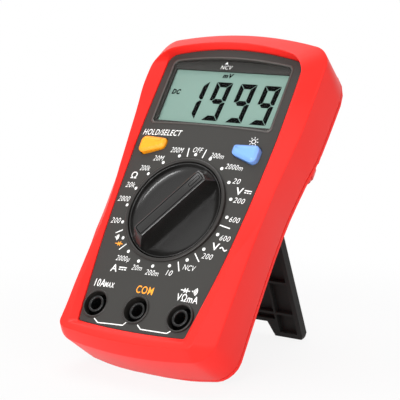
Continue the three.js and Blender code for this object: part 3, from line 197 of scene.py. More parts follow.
def turned(profile: Sequence[Pair], count: int, reach: float = 0.15, steps: int = 4) -> Array:
    """A surface of revolution about Z.

    Formula: the profile's corners are rounded, and each of its points goes round a circle.

    Args:
        profile: radius and height pairs.
        count: points round.
        reach: how far the curve of each corner reaches.
        steps: points on each corner's curve.

    Returns:
        (n, count, 3) grid of points.
    """
    line = np.array([(radius, 0.0, height) for radius, height in profile])[:, None]
    line = rounded(line, [reach] * len(profile), steps, closed=False)
    flat = line[..., :1] * circle(1.0, count)
    return np.concatenate([flat, np.broadcast_to(line[..., 2:], (*flat.shape[:2], 1))], -1)


def corners_rounded(points: Sequence[Pair], radius: float, steps: int = 6) -> Array:
    """Round the corners of a flat closed outline, as quadratic curves that reach the radius either way."""
    flat = np.array([(x, y, 0.0) for x, y in points])[:, None]
    return rounded(flat, [radius] * len(points), steps)[:, 0, :2]


def at_height(outline: Array, height: float | Array) -> Array:
    """Give a flat outline its height."""
    return np.column_stack([outline, np.broadcast_to(height, len(outline))])


def unit(vectors: Array) -> Array:
    """Vectors brought to length one."""
    return vectors / np.maximum(np.linalg.norm(vectors, axis=-1, keepdims=True), TINY)


def across(along: Array) -> Array:
    """Unit vectors a quarter turn clockwise from flat directions."""
    x, y = unit(along).T
    return np.column_stack([y, -x])


def grown(outline: Array, grow: float) -> Array:
    """Move every point of a convex outline out along its own normal, the mean of its two sides' normals.

    Args:
        outline: (n, 2) points.
        grow: how far they go, outwards where it is positive.

    Returns:
        (n, 2) points.
    """
    ahead, behind = np.roll(outline, -1, axis=0) - outline, outline - np.roll(outline, 1, axis=0)
    x, y = outline.T
    area = np.sum(x * np.roll(y, -1) - y * np.roll(x, -1))
    return outline + across(unit(ahead) + unit(behind)) * grow * (1 if area > 0 else -1)


def ribbon(path: Array, width: float, closed: bool = False) -> Array:
    """The two edges of a flat band along a path, half the width either side of it.

    Args:
        path: (n, 2) points.
        width: the band's width.
        closed: whether the path joins itself.

    Returns:
        (2, n, 2) points.
    """
    if closed:
        along = np.roll(path, -1, axis=0) - np.roll(path, 1, axis=0)
    else:
        along = np.gradient(path, axis=0)
    side = across(along) * width / 2
    return np.stack([path - side, path + side])


def crossings(points: Array, loop: Array) -> Array:
    """How many sides of a closed outline each point's line out to the right crosses.

    Args:
        points: (n, 2) points.
        loop: (m, 2) outline.

    Returns:
        n counts, odd where the point lies inside.
    """
    x, y = points[:, :1], points[:, 1:]
    (ax, ay), (bx, by) = loop.T, np.roll(loop, -1, axis=0).T
    spans = (ay > y) != (by > y)
    meets = ax + (y - ay) * (bx - ax) / np.where(by == ay, 1.0, by - ay)
    return (spans & (x < meets)).sum(1)


def grid_quads(rows: int, columns: int, closed: bool = False) -> Array:
    """Faces of a stack of closed rings.

    Formula: point (r, c) joins (r, c + 1), (r + 1, c + 1) and (r + 1, c), counted round.

    Args:
        rows: how many rings.
        columns: points on each ring.
        closed: whether the last ring joins the first.

    Returns:
        (n, 4) point numbers.
    """
    r, c = np.arange(rows if closed else rows - 1)[:, None], np.arange(columns)[None]
    below, beside = (r + 1) % rows * columns, (c + 1) % columns
    corners = r * columns + c, r * columns + beside, below + beside, below + c
    return np.stack(np.broadcast_arrays(*corners), -1).reshape(-1, 4)


@dataclass
class Shape:
    """Points and faces of one or more bodies, gathered before they become one mesh."""

    points: list[Array] = field(default_factory=list)
    faces: list[Array] = field(default_factory=list)
    count: int = 0

    def add(self, points: Array, *faces: Array) -> Shape:
        """Add one body, turned the right way out if its volume comes out negative.

        Args:
            points: (n, 3) points of the face's frame.
            faces: arrays of point numbers, three or four to a face.

        Returns:
            This shape.
        """
        triangles = np.concatenate([block[:, [0, k - 1, k]] for block in faces
                                    for k in range(2, block.shape[1])])
        a, b, c = (points[triangles[:, k]] for k in range(3))
        volume = np.einsum("ij,ij->i", a - points.mean(0), np.cross(b - a, c - a)).sum()
        self.faces += [(block[:, ::-1] if volume < 0 else block) + self.count for block in faces]
        self.points.append(points)
        self.count += len(points)
        return self

    def skin(self, rings: Array, closed: bool = False) -> Shape:
        """Add a stack of closed rings as one body, with a fan over each end unless it closes on itself.

        Args:
            rings: (n, m, 3) grid of points.
            closed: whether the last ring joins the first.

        Returns:
            This shape.
        """
        rows, columns = rings.shape[:2]
        points, quads = rings.reshape(-1, 3), grid_quads(rows, columns, closed)
        if closed:
            return self.add(points, quads)
        ring, base, hub = np.arange(columns), (rows - 1) * columns, np.full(columns, len(points))
        ahead = np.roll(ring, -1)
        first, last = np.stack([hub, ahead, ring], -1), np.stack([hub + 1, base + ring, base + ahead], -1)
        return self.add(np.concatenate([points, [rings[0].mean(0), rings[-1].mean(0)]]), quads, first, last)

    def band(self, inner: Array, outer: Array, low: float, high: float) -> Shape:
        """Add a flat frame between two outlines of as many points, from a low height to a high one."""
        levels = (inner, low), (outer, low), (outer, high), (inner, high)
        return self.skin(np.stack([at_height(*level) for level in levels]), closed=True)

    def strip(self, path: Array, width: float, low: float, high: float) -> Shape:
        """Add a thin raised line of even width along an open path.

        Args:
            path: (n, 2) points.
            width: the line's width.
            low: height of its underside.
            high: height of its top.

        Returns:
            This shape.
        """
        left, right = ribbon(path, width)
        levels = (left, low), (right, low), (right, high), (left, high)
        return self.skin(np.stack([at_height(*level) for level in levels], axis=1))

    def plate(self, outline: Array, low: float, high: float) -> Shape:
        """Add a thin flat plate of a convex outline."""
        return self.skin(np.stack([at_height(outline, low), at_height(outline, high)]))

    def posts(self, profile: Sequence[Pair], places: Sequence[Triple], count: int = 32, reach: float = 0.15,
              steps: int = 4) -> Shape:
        """Add a closed profile turned about an upright line at each of some places.

        Args:
            profile: radius and height pairs.
            places: where the lines stand, and how far each body is raised.
            count: points round.
            reach: how far the curve of each corner reaches.
            steps: points on each corner's curve.

        Returns:
            This shape.
        """
        for place in places:
            self.skin(turned(profile, count, reach, steps) + np.array(place), closed=True)
        return self

    def turn(self, angle: float) -> Shape:
        """Turn every body about Z by an angle, counted anticlockwise.

        Args:
            angle: radians.

        Returns:
            This shape.
        """
        sine, cosine = math.sin(angle), math.cos(angle)
        turn = np.array([[cosine, sine, 0], [-sine, cosine, 0], [0, 0, 1.0]])
        self.points = [points @ turn for points in self.points]
        return self

    def crowned(self) -> Shape:
        """Lay every body on the crowned face: each point goes down by the crown's fall at its own x."""
        self.points = [points + crown(points[:, :1]) * [0, 0, 1] for points in self.points]
        return self

    def join(self, other: Shape) -> Shape:
        """Take in the bodies of another shape.

        Args:
            other: the shape that is taken in.

        Returns:
            This shape.
        """
        self.points += other.points
        self.faces += [face + self.count for face in other.faces]
        self.count += other.count
        return self


def add_object(name: str, data: bpy.types.ID) -> bpy.types.Object:
    """Put a new object into the scene.

    Args:
        name: the object's name.
        data: its mesh, curve, lamp or camera.

    Returns:
        The object.
    """
    made = bpy.data.objects.new(name, data)
    bpy.context.scene.collection.objects.link(made)
    return made


def make_piece(name: str, shape: Shape, body: str, finish: Finishes, sharp: float = 32.0,
               replaces: str = "") -> None:
    """Make a mesh object of a shape, dress it and let it ride on a body.

    Args:
        name: the piece's name.
        shape: its bodies in the face's frame.
        body: the CAD body that it rides on.
        finish: what it is made of.
        sharp: edges that turn by more than this many degrees stay sharp.
        replaces: the CAD node that it stands for, if any.
    """
    mesh = bpy.data.meshes.new(name)
    mesh.from_pydata(Face().to_world(np.concatenate(shape.points)).tolist(), [],
                     [face for block in shape.faces for face in block.tolist()])
    mesh.polygons.foreach_set("use_smooth", np.ones(len(mesh.polygons), bool))
    mesh.set_sharp_from_angle(angle=math.radians(sharp))
    mesh.materials.append(finish.value.material())
    mesh.update()
    piece = add_object(name, mesh)
    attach(piece, body)
    if replaces:
        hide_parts(replaces)
    LOG.info("%s: %d faces on %s", name, len(mesh.polygons), body)


# Finishes


def linear(screen: tuple[int, int, int]) -> tuple[float, ...]:
    """A colour of three screen values from 0 to 255 as linear light, opaque."""
    value = np.array(screen) / 255
    return *np.where(value <= 0.04045, value / 12.92, ((value + 0.055) / 1.055) ** 2.4).tolist(), 1.0


def fill(node: bpy.types.Node, inputs: Inputs) -> None:
    """Give a node what comes into it.

    Args:
        node: the node.
        inputs: by name or number, the socket that an input is linked from or its plain value.
    """
    for key, value in inputs.items():
        if isinstance(value, Socket):
            node.id_data.links.new(value, node.inputs[key])
        else:
            node.inputs[key].default_value = value


def add_node(tree: Tree, kind: str, inputs: Inputs | None = None, **options: Any) -> bpy.types.Node:
    """Add a node, set its options and give it what comes into it.

    Args:
        tree: where it goes.
        kind: its type.
        inputs: what comes into it, as for fill.
        options: its own settings.

    Returns:
        The node.
    """
    node = tree.nodes.new(kind)
    for name, value in options.items():
        setattr(node, name, value)
    fill(node, inputs or {})
    return node


def math_node(tree: Tree, operation: str, *values: Any, **options: Any) -> Socket:
    """The result of a sum, given by its name, on sockets and plain values."""
    inputs = dict(enumerate(values))
    return add_node(tree, "ShaderNodeMath", inputs, operation=operation, **options).outputs[0]


def moulded(group: Tree, given: Any) -> tuple[Socket, Socket]:
    """The spark-eroded grain of moulded plastic.

    Args:
        group: the node group that it is part of.
        given: the group's own inputs.

    Returns:
        Broad clouds for the colour, and a fine noise for gloss and height.
    """
    cloud = add_node(group, "ShaderNodeTexNoise", {"Vector": given["Vector"], "Scale": 55.0, "Detail": 3.0})
    fine = add_node(group, "ShaderNodeTexNoise", {"Vector": given["Vector"], "Scale": given["Grain"],
                                                  "Detail": 2.0, "Roughness": 0.6})
    return cloud.outputs["Fac"], fine.outputs["Fac"]


def drawn(group: Tree, given: Any) -> tuple[Socket, Socket]:
    """Fine drawn or turned lines on metal: one noise stretched along X.

    Args:
        group: the node group that it is part of.
        given: the group's own inputs.

    Returns:
        The noise for the colour, and again for gloss and height.
    """
    stretch = add_node(group, "ShaderNodeMapping", {"Vector": given["Vector"], "Scale": (400, 4000, 4000)})
    lines = add_node(group, "ShaderNodeTexNoise", {"Vector": stretch.outputs[0], "Scale": 1.0, "Detail": 3.0})
    return lines.outputs["Fac"], lines.outputs["Fac"]


def shared_effect(name: str, noises: Noises, labels: Sequence[str]) -> Tree:
    """A node group that varies a finish over its surface: cloudy colour, uneven gloss and fine bumps.

    Formula: the broad noise, less a half, times Cloud makes the colour lighter or darker, and the fine noise,
    less a half, times Spread is added to the roughness; the fine noise is the height.

    Args:
        name: the group's name, by which it is found again.
        noises: makes the broad noise and the fine one.
        labels: names of its inputs besides the place and the colour.

    Returns:
        The group.
    """
    found = bpy.data.node_groups.get(name)
    if found:
        return found
    group = bpy.data.node_groups.new(name, "ShaderNodeTree")
    kinds = {"Vector": "Vector", "Colour": "Color"}
    sides = {"INPUT": ("Vector", "Colour", *labels), "OUTPUT": ("Colour", "Roughness", "Height")}
    for way, names in sides.items():
        for label in names:
            kind = f"NodeSocket{kinds.get(label, 'Float')}"
            group.interface.new_socket(label, in_out=way, socket_type=kind)
    given = add_node(group, "NodeGroupInput").outputs
    broad, fine = noises(group, given)
    lift = math_node(group, "MULTIPLY_ADD", math_node(group, "SUBTRACT", broad, 0.5), given["Cloud"], 1.0)
    gloss = math_node(group, "MULTIPLY_ADD", math_node(group, "SUBTRACT", fine, 0.5), given["Spread"],
                      given["Roughness"])
    tint = add_node(group, "ShaderNodeVectorMath", {0: given["Colour"], "Scale": lift}, operation="SCALE")
    add_node(group, "NodeGroupOutput", {"Colour": tint.outputs[0], "Roughness": gloss, "Height": fine})
    return group


@dataclass(frozen=True)
class Finish:
    """What a piece is made of: a name, the record's slot, which is not used here, a screen colour and how it
    takes light.
    """

    name: str
    slot: str
    colour: tuple[int, int, int]
    roughness: float = 0.5
    cloud: float = 0.05
    spread: float = 0.08
    bump: float = 0.12
    depth: float = 0.00004

    def values(self) -> dict[str, float]:
        """Values of the shared effect's own inputs."""
        return {"Cloud": self.cloud, "Roughness": self.roughness, "Spread": self.spread}

    def effect(self) -> Tree:
        """The shared effect that varies this finish over the surface: each kind of finish has its own."""
        raise NotImplementedError

    def surface(self) -> Inputs:
        """What is the same all over the surface: each kind of finish has its own."""
        raise NotImplementedError

    def material(self) -> bpy.types.Material:
        """The material of this finish, made once and found again by its name.

        Returns:
            A material whose colour, roughness and bumps come from the shared effect on Object coordinates.
        """
        found = bpy.data.materials.get(self.name)
        if found:
            return found
        made = bpy.data.materials.new(self.name)
        made.use_nodes = True
        tree = made.node_tree
        place = add_node(tree, "ShaderNodeTexCoord").outputs["Object"]
        inputs = {"Vector": place, "Colour": linear(self.colour), **self.values()}
        varied = add_node(tree, "ShaderNodeGroup", inputs, node_tree=self.effect()).outputs
        bump = add_node(tree, "ShaderNodeBump", {"Strength": self.bump, "Distance": self.depth,
                                                 "Height": varied["Height"]})
        fill(tree.nodes["Principled BSDF"], {"Base Color": varied["Colour"], "Roughness": varied["Roughness"],
                                             "Normal": bump.outputs["Normal"], **self.surface()})
        return made


@dataclass(frozen=True)
class Plastic(Finish):
    """Moulded plastic with a spark-eroded grain of a given fineness, and a clear coat where it has one."""

    shine: float = 0.5
    refraction: float = 1.46
    grain: float = 3500.0
    coat: float = 0.0
    coat_roughness: float = 0.25

    def values(self) -> dict[str, float]:
        """Values of the grain's inputs, with the grain's fineness."""
        return {**super().values(), "Grain": self.grain}

    def effect(self) -> Tree:
        """Moulded grain."""
        return shared_effect("MouldedGrain", moulded, tuple(self.values()))

    def surface(self) -> Inputs:
        """How plastic bends light, how much of it is mirrored, and its coat."""
        return {"IOR": self.refraction, "Specular IOR Level": self.shine, "Coat Weight": self.coat,
                "Coat Roughness": self.coat_roughness}


@dataclass(frozen=True)
class Metal(Finish):
    """Drawn, stamped or turned metal."""

    def effect(self) -> Tree:
        """Drawn lines."""
        return shared_effect("DrawnMetal", drawn, tuple(self.values()))

    def surface(self) -> Inputs:
        """Metal all over."""
        return {"Metallic": 1.0}


@dataclass(frozen=True)
class Pane(Plastic):
    """Clear polished plastic or glass that is mostly seen through."""

    alpha: float = 0.1

    def surface(self) -> Inputs:
        """Let what lies behind show through, and keep the gloss."""
        return {**super().surface(), "Alpha": self.alpha}


class Finishes(Enum):
    """Every finish on the meter, by what it is."""

    RED = Plastic("RedCase", "red_case", (243, 43, 37), 0.4, cloud=0.03, bump=0.08, shine=0.2, grain=2600.0)
    PANEL = Plastic("PanelGrey", "grey_panel", (55, 54, 52), 0.62, cloud=0.06, bump=0.2, shine=0.2,
                    grain=4200.0)
    # painted highlight: a lighter grey than the panel, for the highlight along the window's bead
    BEAD_HIGHLIGHT = Plastic("PanelBeadHighlight", "grey_panel", (68, 65, 62), 0.34, bump=0.08)
    BLACK = Plastic("KnobBlack", "black_plastic", (22, 21, 20), 0.24, cloud=0.08, bump=0.05, shine=0.55)
    RING = Plastic("PanelRing", "grey_panel", (39, 37, 35), 0.34, bump=0.08, shine=0.35)
    # painted shade: near-black, matt bands on the knob's ridge stand in for the shade inside its engraved
    # grooves and slot
    GROOVE_SHADE = Plastic("KnobGrooveShade", "black_plastic", (7, 7, 7), 0.8, cloud=0.08, bump=0.08, shine=0.0)
    JACK = Plastic("JackBlack", "black_plastic", (13, 13, 13), 0.26, cloud=0.08, bump=0.06, shine=0.4)
    STAND = Plastic("StandBlack", "stand_black", (36, 35, 34), 0.6, cloud=0.1, bump=0.2, shine=0.15,
                    grain=2600.0)
    YELLOW = Plastic("YellowKey", "yellow_key", (250, 159, 25), 0.36, cloud=0.03, bump=0.05)
    BLUE = Plastic("BlueKey", "blue_key", (118, 164, 234), 0.36, cloud=0.03, bump=0.05)
    CREAM = Plastic("NaturalPlastic", "cream_plastic", (229, 225, 210))
    RUBBER = Plastic("StripRubber", "rubber_strip", (86, 88, 90), 0.8)
    DARK = Plastic("ComponentBlack", "dark_component", (36, 36, 37), grain=2400.0)
    BLUE_PART = Plastic("ComponentBlue", "blue_component", (40, 92, 180), 0.4)
    ORANGE = Plastic("DippedCoat", "orange_coat", (210, 122, 44), 0.35)
    SLEEVE = Plastic("PlainSleeve", "printed_skin", (46, 92, 158), 0.3, coat=0.4)
    BOARD = Plastic("BoardLaminate", "board_laminate", (32, 94, 60), 0.38, cloud=0.5, coat=0.3)
    GLASS = Pane("FuseGlass", "fuse_glass", (222, 232, 235), 0.08, bump=0.0, alpha=0.45)
    PANE = Pane("WindowClear", "clear_window", (40, 44, 43), 0.06, bump=0.0, spread=0.01, alpha=0.05)
    LCD = Plastic("DisplayGreen", "display_glass", (130, 158, 148), 0.4, cloud=0.03, bump=0.0, shine=0.1)
    DIGIT = Plastic("SegmentBlack", "display_glass", (8, 9, 9), cloud=0.1, bump=0.0, shine=0.0)
    WHITE = Plastic("WhitePrint", "grey_panel", (236, 236, 234), bump=0.1)
    AMBER = Plastic("OrangePrint", "grey_panel", (250, 160, 44), bump=0.1)
    BRASS = Metal("BrightBrass", "brass", (206, 168, 84), 0.3)
    STEEL = Metal("ZincedSteel", "steel", (186, 188, 190), 0.34)


# Outlines of the case

OUTER_SIDE: Pairs = (
    (0, 0.914), (0.154, 0.914), (0.336, 0.914), (0.447, 0.925), (0.543, 0.94), (0.649, 0.977),
    (0.702, 0.995), (0.785, 1), (1, 1))
REAR_SIDE: Pairs = (
    (0, 0.918), (0.101, 0.918), (0.147, 0.909), (0.348, 0.888), (0.468, 0.889), (0.517, 0.9),
    (0.567, 0.918), (0.617, 0.94), (0.672, 0.972), (0.719, 0.987), (0.77, 0.992), (0.845, 0.997), (1, 1))
CREASE_SIDE: Pairs = (
    (0, 0.777), (0.099, 0.784), (0.17, 0.803), (0.288, 0.818), (0.337, 0.849), (0.393, 0.886),
    (0.446, 0.908), (0.543, 0.928), (0.649, 0.965), (0.702, 0.983), (0.785, 0.988), (1, 0.988))
CREST_SIDE: Pairs = (
    (0, 0.69), (0.099, 0.709), (0.174, 0.732), (0.273, 0.774), (0.341, 0.79), (0.415, 0.803),
    (0.543, 0.839), (0.656, 0.868), (0.724, 0.881), (0.79, 0.9), (0.85, 0.893), (0.9, 0.872), (1, 0.85))
PANEL_SIDE: Pairs = (
    (0, 0.585), (0.09, 0.632), (0.19, 0.68), (0.288, 0.722), (0.386, 0.752), (0.483, 0.774), (0.585, 0.791),
    (0.68, 0.801), (0.8, 0.798), (1, 0.785))
CREST_HEIGHT: Pairs = (
    (0, 0.5), (0.06, 0.53), (0.099, 0.56), (0.148, 0.5), (0.197, 0.33), (0.242, 0.12), (0.29, 0.03),
    (0.34, 0), (0.385, -0.06), (0.433, -0.06), (0.481, 0), (0.53, 0.13), (0.578, 0.21), (0.628, 0.31),
    (0.677, 0.42), (0.724, 0.6), (0.785, 0.79), (0.88, 0.93), (1, 1))
LIP_HEIGHT: Pairs = (
    (0, 0.3), (0.1, 0.2), (0.25, 0.1), (0.8, 0.1), (1, 0.25))
CREASE_HEIGHT: Pairs = (
    (0, 0.5), (0.099, 0.31), (0.17, 0.155), (0.288, -0.045), (0.337, -0.27), (0.393, -0.66), (0.446, -0.84),
    (0.543, -0.92), (0.88, -0.92), (1, -0.75))


@dataclass(frozen=True)
class Form:
    """A closed outline of the case: arched ends, sides that follow a table and drawn-out corners."""

    sides: Pairs
    top: float
    top_drop: float
    bottom: float
    bottom_drop: float
    top_corner: float
    bottom_corner: float
    low: float = -56.2
    length: float = 132.8
    end_steps: int = 12
    corner_steps: int = 14
    side_steps: int = 64

    def place(self, y: Array) -> Array:
        """How far up the case a height on the face is, from 0 at the bottom to 1 at the top."""
        return (y - self.low) / self.length

    def side(self, y: Array | float, grow: float) -> Array:
        """Half width at a height on the face."""
        return follow(self.sides, self.place(np.asarray(y, float))) * HALF_WIDTH + grow

    def end(self, height: float, drop: float, corner: float, grow: float) -> tuple[Array, Array, Array]:
        """Half of the arched top or bottom.

        Formula: a parabola across the width that leaves its height by the drop at the half width.

        Args:
            height: where the middle of the arch is.
            drop: how far the arch goes down from there, negative at the bottom.
            corner: how far the corner reaches, negative at the bottom.
            grow: how far the outline lies outside the named one.

        Returns:
            The arch from its middle to the corner's start, the corner's point, and where the side starts.
        """
        level, turn = height - drop, height - drop - corner
        half = float(self.side(level, grow))
        x = (half - abs(corner)) * np.append(np.arange(self.end_steps) / self.end_steps, 1.0)
        arch = np.column_stack([x, height - drop * (x / half) ** 2])
        return arch, np.array([half, level]), np.array([float(self.side(turn, grow)), turn])

    def bend(self, start: Array, corner: Array, end: Array) -> Array:
        """A cubic curve from start to end whose handles lie most of the way to the corner.

        Args:
            start: its first point.
            corner: the point that it is drawn out towards.
            end: where it would end, not among its points.

        Returns:
            (n, 2) points.
        """
        t = np.arange(self.corner_steps)[:, None] / self.corner_steps
        near, far = corner + (start - corner) * CORNER_SHARE, corner + (end - corner) * CORNER_SHARE
        return (1 - t) ** 3 * start + 3 * t * (1 - t) ** 2 * near + 3 * t * t * (1 - t) * far + t ** 3 * end

    def ring(self, grow: float = 0.0) -> Array:
        """Points of the outline, clockwise from the middle of the top; the left half mirrors the right one.

        Args:
            grow: how far the outline lies outside the named one.

        Returns:
            (n, 2) points, as many for every outline.
        """
        over, top, start = self.end(self.top + grow, self.top_drop, self.top_corner, grow)
        under, low, finish = self.end(self.bottom - grow, -self.bottom_drop, -self.bottom_corner, grow)
        y = start[1] + (finish[1] - start[1]) * np.arange(self.side_steps) / self.side_steps
        right = np.concatenate([over[:-1], self.bend(over[-1], top, start),
                                np.column_stack([self.side(y, grow), y]),
                                self.bend(finish, low, under[-1]), under[::-1]])
        return np.concatenate([right, (right[1:-1] * [-1, 1])[::-1]])

    def ring_at(self, heights: Pairs, reach: float, grow: float = 0.0) -> Array:
        """The outline with a height that follows a table of shares of a reach."""
        flat = self.ring(grow)
        return at_height(flat, follow(heights, self.place(flat[:, 1])) * reach)


OUTER = Form(OUTER_SIDE, 76.6, 4.8, -56.2, 3.4, 6.6, 7.5)
REAR = Form(REAR_SIDE, 76.6, 4.8, -56.6, 4, 13, 7)
PANEL = Form(PANEL_SIDE, 67.5, 3, -48.3, 1.3, 3, 0.8)
CREASE = Form(CREASE_SIDE, 76.1, 4.8, -53.3, 2.2, 6.6, 2.5)
CREST = Form(CREST_SIDE, 69.2, 5.2, -50.55, 1.5, 7, 1.65)


# Sub-assemblies


@dataclass
class CaseShell:
    """The red front case: one moulding from the lip round the panel to the parting line and back inside."""

    wall: float = 2.2
    gap: float = 0.3
    crest_z: float = 3.0
    crease_reach: float = 4.5
    shoulder_z: float = -4.5
    parting_z: float = -20.5
    ledge: float = 1.8
    ledge_z: float = -2.85
    reach: tuple[float, ...] = (0.3, 0.6, 0.3, 0.5, 0.25, 0.2, 1.0, 0.6, 0.2, 0.2)
    screws: Pairs = ((33.2, 58.0), (29.0, -46.9))
    boss: Pairs = ((1.7, -20.5), (3.2, -20.5), (3.2, -5.7), (1.7, -5.7))

    def shape(self) -> Shape:
        """Skin the section's rings, every corner of the section rounded, and stand the screws' bosses in it.

        Returns:
            The shell.
        """
        crest = CREST.ring_at(CREST_HEIGHT, self.crest_z)
        lip = PANEL.ring_at(LIP_HEIGHT, self.crest_z, self.gap)
        lip[:, 2] += crown(lip[:, 0])
        flange = at_height(PANEL.ring(self.ledge), self.ledge_z)
        under = (crest + flange) / 2
        under[:, 2] = crest[:, 2] - self.wall - self.gap
        rings = np.stack([
            lip, crest, CREASE.ring_at(CREASE_HEIGHT, self.crease_reach),
            at_height(OUTER.ring(), self.shoulder_z), at_height(REAR.ring(), self.parting_z),
            at_height(REAR.ring(-self.wall), self.parting_z),
            at_height(OUTER.ring(-self.wall), self.shoulder_z - self.wall), under, flange,
            at_height(PANEL.ring(self.gap), self.ledge_z)])
        places = [(side * x, y, 0.0) for x, y in self.screws for side in (-1, 1)]
        return Shape().skin(rounded(rings, self.reach), closed=True).posts(self.boss, places)

    def build(self) -> None:
        """Make the shell in place of its CAD node."""
        make_piece("case_shell", self.shape(), "case", Finishes.RED, 50, "front_case")


@dataclass
class Ink:
    """One colour of print: thin raised shapes on a flat face, gathered before they are laid down."""

    low: float = 0.004
    thick: float = 0.02
    width: float = 0.42
    pieces: int = 6
    spacing: float = 1.1
    curve_steps: int = 3
    wave_width: float = 0.45
    wave_rise: float = 0.55
    arcs: Triple = (0.42, 0.7, 0.98)
    arc_half: float = 0.85
    arc_width: float = 0.34
    lamp_radius: float = 0.8
    lamp_width: float = 0.26
    rays: int = 8
    ray: Pair = (1.25, 1.9)
    ray_width: float = 0.24
    shape: Shape = field(default_factory=Shape)

    def plate(self, outline: Array) -> None:
        """Print a filled convex outline."""
        self.shape.plate(outline, self.low, self.low + self.thick)

    def strip(self, path: Array, width: float) -> None:
        """Print a line of even width."""
        self.shape.strip(path, width, self.low, self.low + self.thick)

    def line(self, *points: Pair, width: float | None = None) -> None:
        """Print a line through points, cut into short pieces so that it can follow the crowned face.

        Args:
            points: two or more points.
            width: its width, or the usual one.
        """
        which, corners = np.arange(len(points)), np.array(points, float)
        share = np.linspace(0, which[-1], which[-1] * self.pieces + 1)
        path = np.column_stack([np.interp(share, which, corners[:, k]) for k in (0, 1)])
        self.strip(path, width or self.width)

    def word(self, text: str, centre: Pair, size: Pair, bold: float, shear: float) -> None:
        """Print one word in plain letters.

        Args:
            text: what it says.
            centre: the middle of the word on the face.
            size: the width and height that it is fitted to.
            bold: how far the strokes are fattened, as a share of the letters' size.
            shear: how far the letters lean.
        """
        curve = bpy.data.curves.new("word", "FONT")
        curve.body, curve.offset, curve.shear = text, bold, shear
        curve.extrude, curve.space_character, curve.resolution_u = 1.0, self.spacing + bold, self.curve_steps
        holder = add_object("word", curve)
        bpy.context.view_layer.update()
        mesh = bpy.data.meshes.new_from_object(holder.evaluated_get(bpy.context.evaluated_depsgraph_get()))
        mesh.calc_loop_triangles()
        points = np.empty(len(mesh.vertices) * 3, np.float32)
        mesh.vertices.foreach_get("co", points)
        triangles = np.empty(len(mesh.loop_triangles) * 3, np.int32)
        mesh.loop_triangles.foreach_get("vertices", triangles)
        bpy.data.objects.remove(holder)
        bpy.data.curves.remove(curve)
        bpy.data.meshes.remove(mesh)
        points = points.reshape(-1, 3).astype(float)
        low, high = points.min(0), points.max(0)
        share = (points - low) / (high - low) - [0.5, 0.5, 0.0]
        self.shape.add(share * [*size, self.thick] + [*centre, self.low], triangles.reshape(-1, 3))

    def words(self, table: Words, bold: float = -0.006, shear: float = 0.22) -> None:
        """Print words, each given as its text, the x and y of its middle, its width and its height."""
        for text, x, y, width, height in table:
            self.word(text, (x, y), (width, height), bold, shear)

    def direct(self, x: float, y: float, wide: float) -> None:
        """The sign for direct current: a line over three short dashes.

        Args:
            x, y: its middle on the face.
            wide: its width.
        """
        rise, dash = self.width, wide * 0.12
        self.line((x - wide / 2, y + rise), (x + wide / 2, y + rise))
        for centre in (x - wide * 0.36, x, x + wide * 0.36):
            self.line((centre - dash, y - rise), (centre + dash, y - rise))

    def wave(self, x: float, y: float, wide: float = 2.9) -> None:
        """The sign for alternating current: one period of a sine."""
        t = np.linspace(-0.5, 0.5, 17)
        self.strip(np.column_stack([x + t * wide, y + self.wave_rise * np.sin(-t * TAU)]), self.wave_width)

    def sound(self, x: float, y: float, size: float) -> None:
        """The sign for the buzzer: a dot and three arcs.

        Args:
            x, y: its middle on the face.
            size: the largest arc's radius, nearly.
        """
        hub = [x - size * 0.5, y]
        self.plate(circle(size * 0.16, 12) + hub)
        t = np.linspace(-self.arc_half, self.arc_half, 9)
        for radius in self.arcs:
            self.strip(np.column_stack([np.cos(t), np.sin(t)]) * radius * size + hub, self.arc_width)

    def diode(self, x: float, y: float, size: float) -> None:
        """The sign for a diode: a triangle that points at a bar, on a line.

        Args:
            x, y: its middle on the face.
            size: its height and half its width.
        """
        half = size / 2
        self.plate(np.array([(x - half * 0.6, y + half), (x + half * 0.6, y), (x - half * 0.6, y - half)]))
        self.line((x + half * 0.7, y + half), (x + half * 0.7, y - half), width=0.4)
        self.line((x - size, y), (x + size, y), width=0.36)

    def lamp(self, x: float, y: float) -> None:
        """The sign for the light: a small ring with eight rays.

        Args:
            x, y: its middle on the face.
        """
        left, right = ribbon(circle(self.lamp_radius, 20) + [x, y], self.lamp_width, closed=True)
        self.shape.band(left, right, self.low, self.low + self.thick)
        for k in range(self.rays):
            along = toward(k / self.rays)
            self.line(*(along * radius + [x, y] for radius in self.ray), width=self.ray_width)


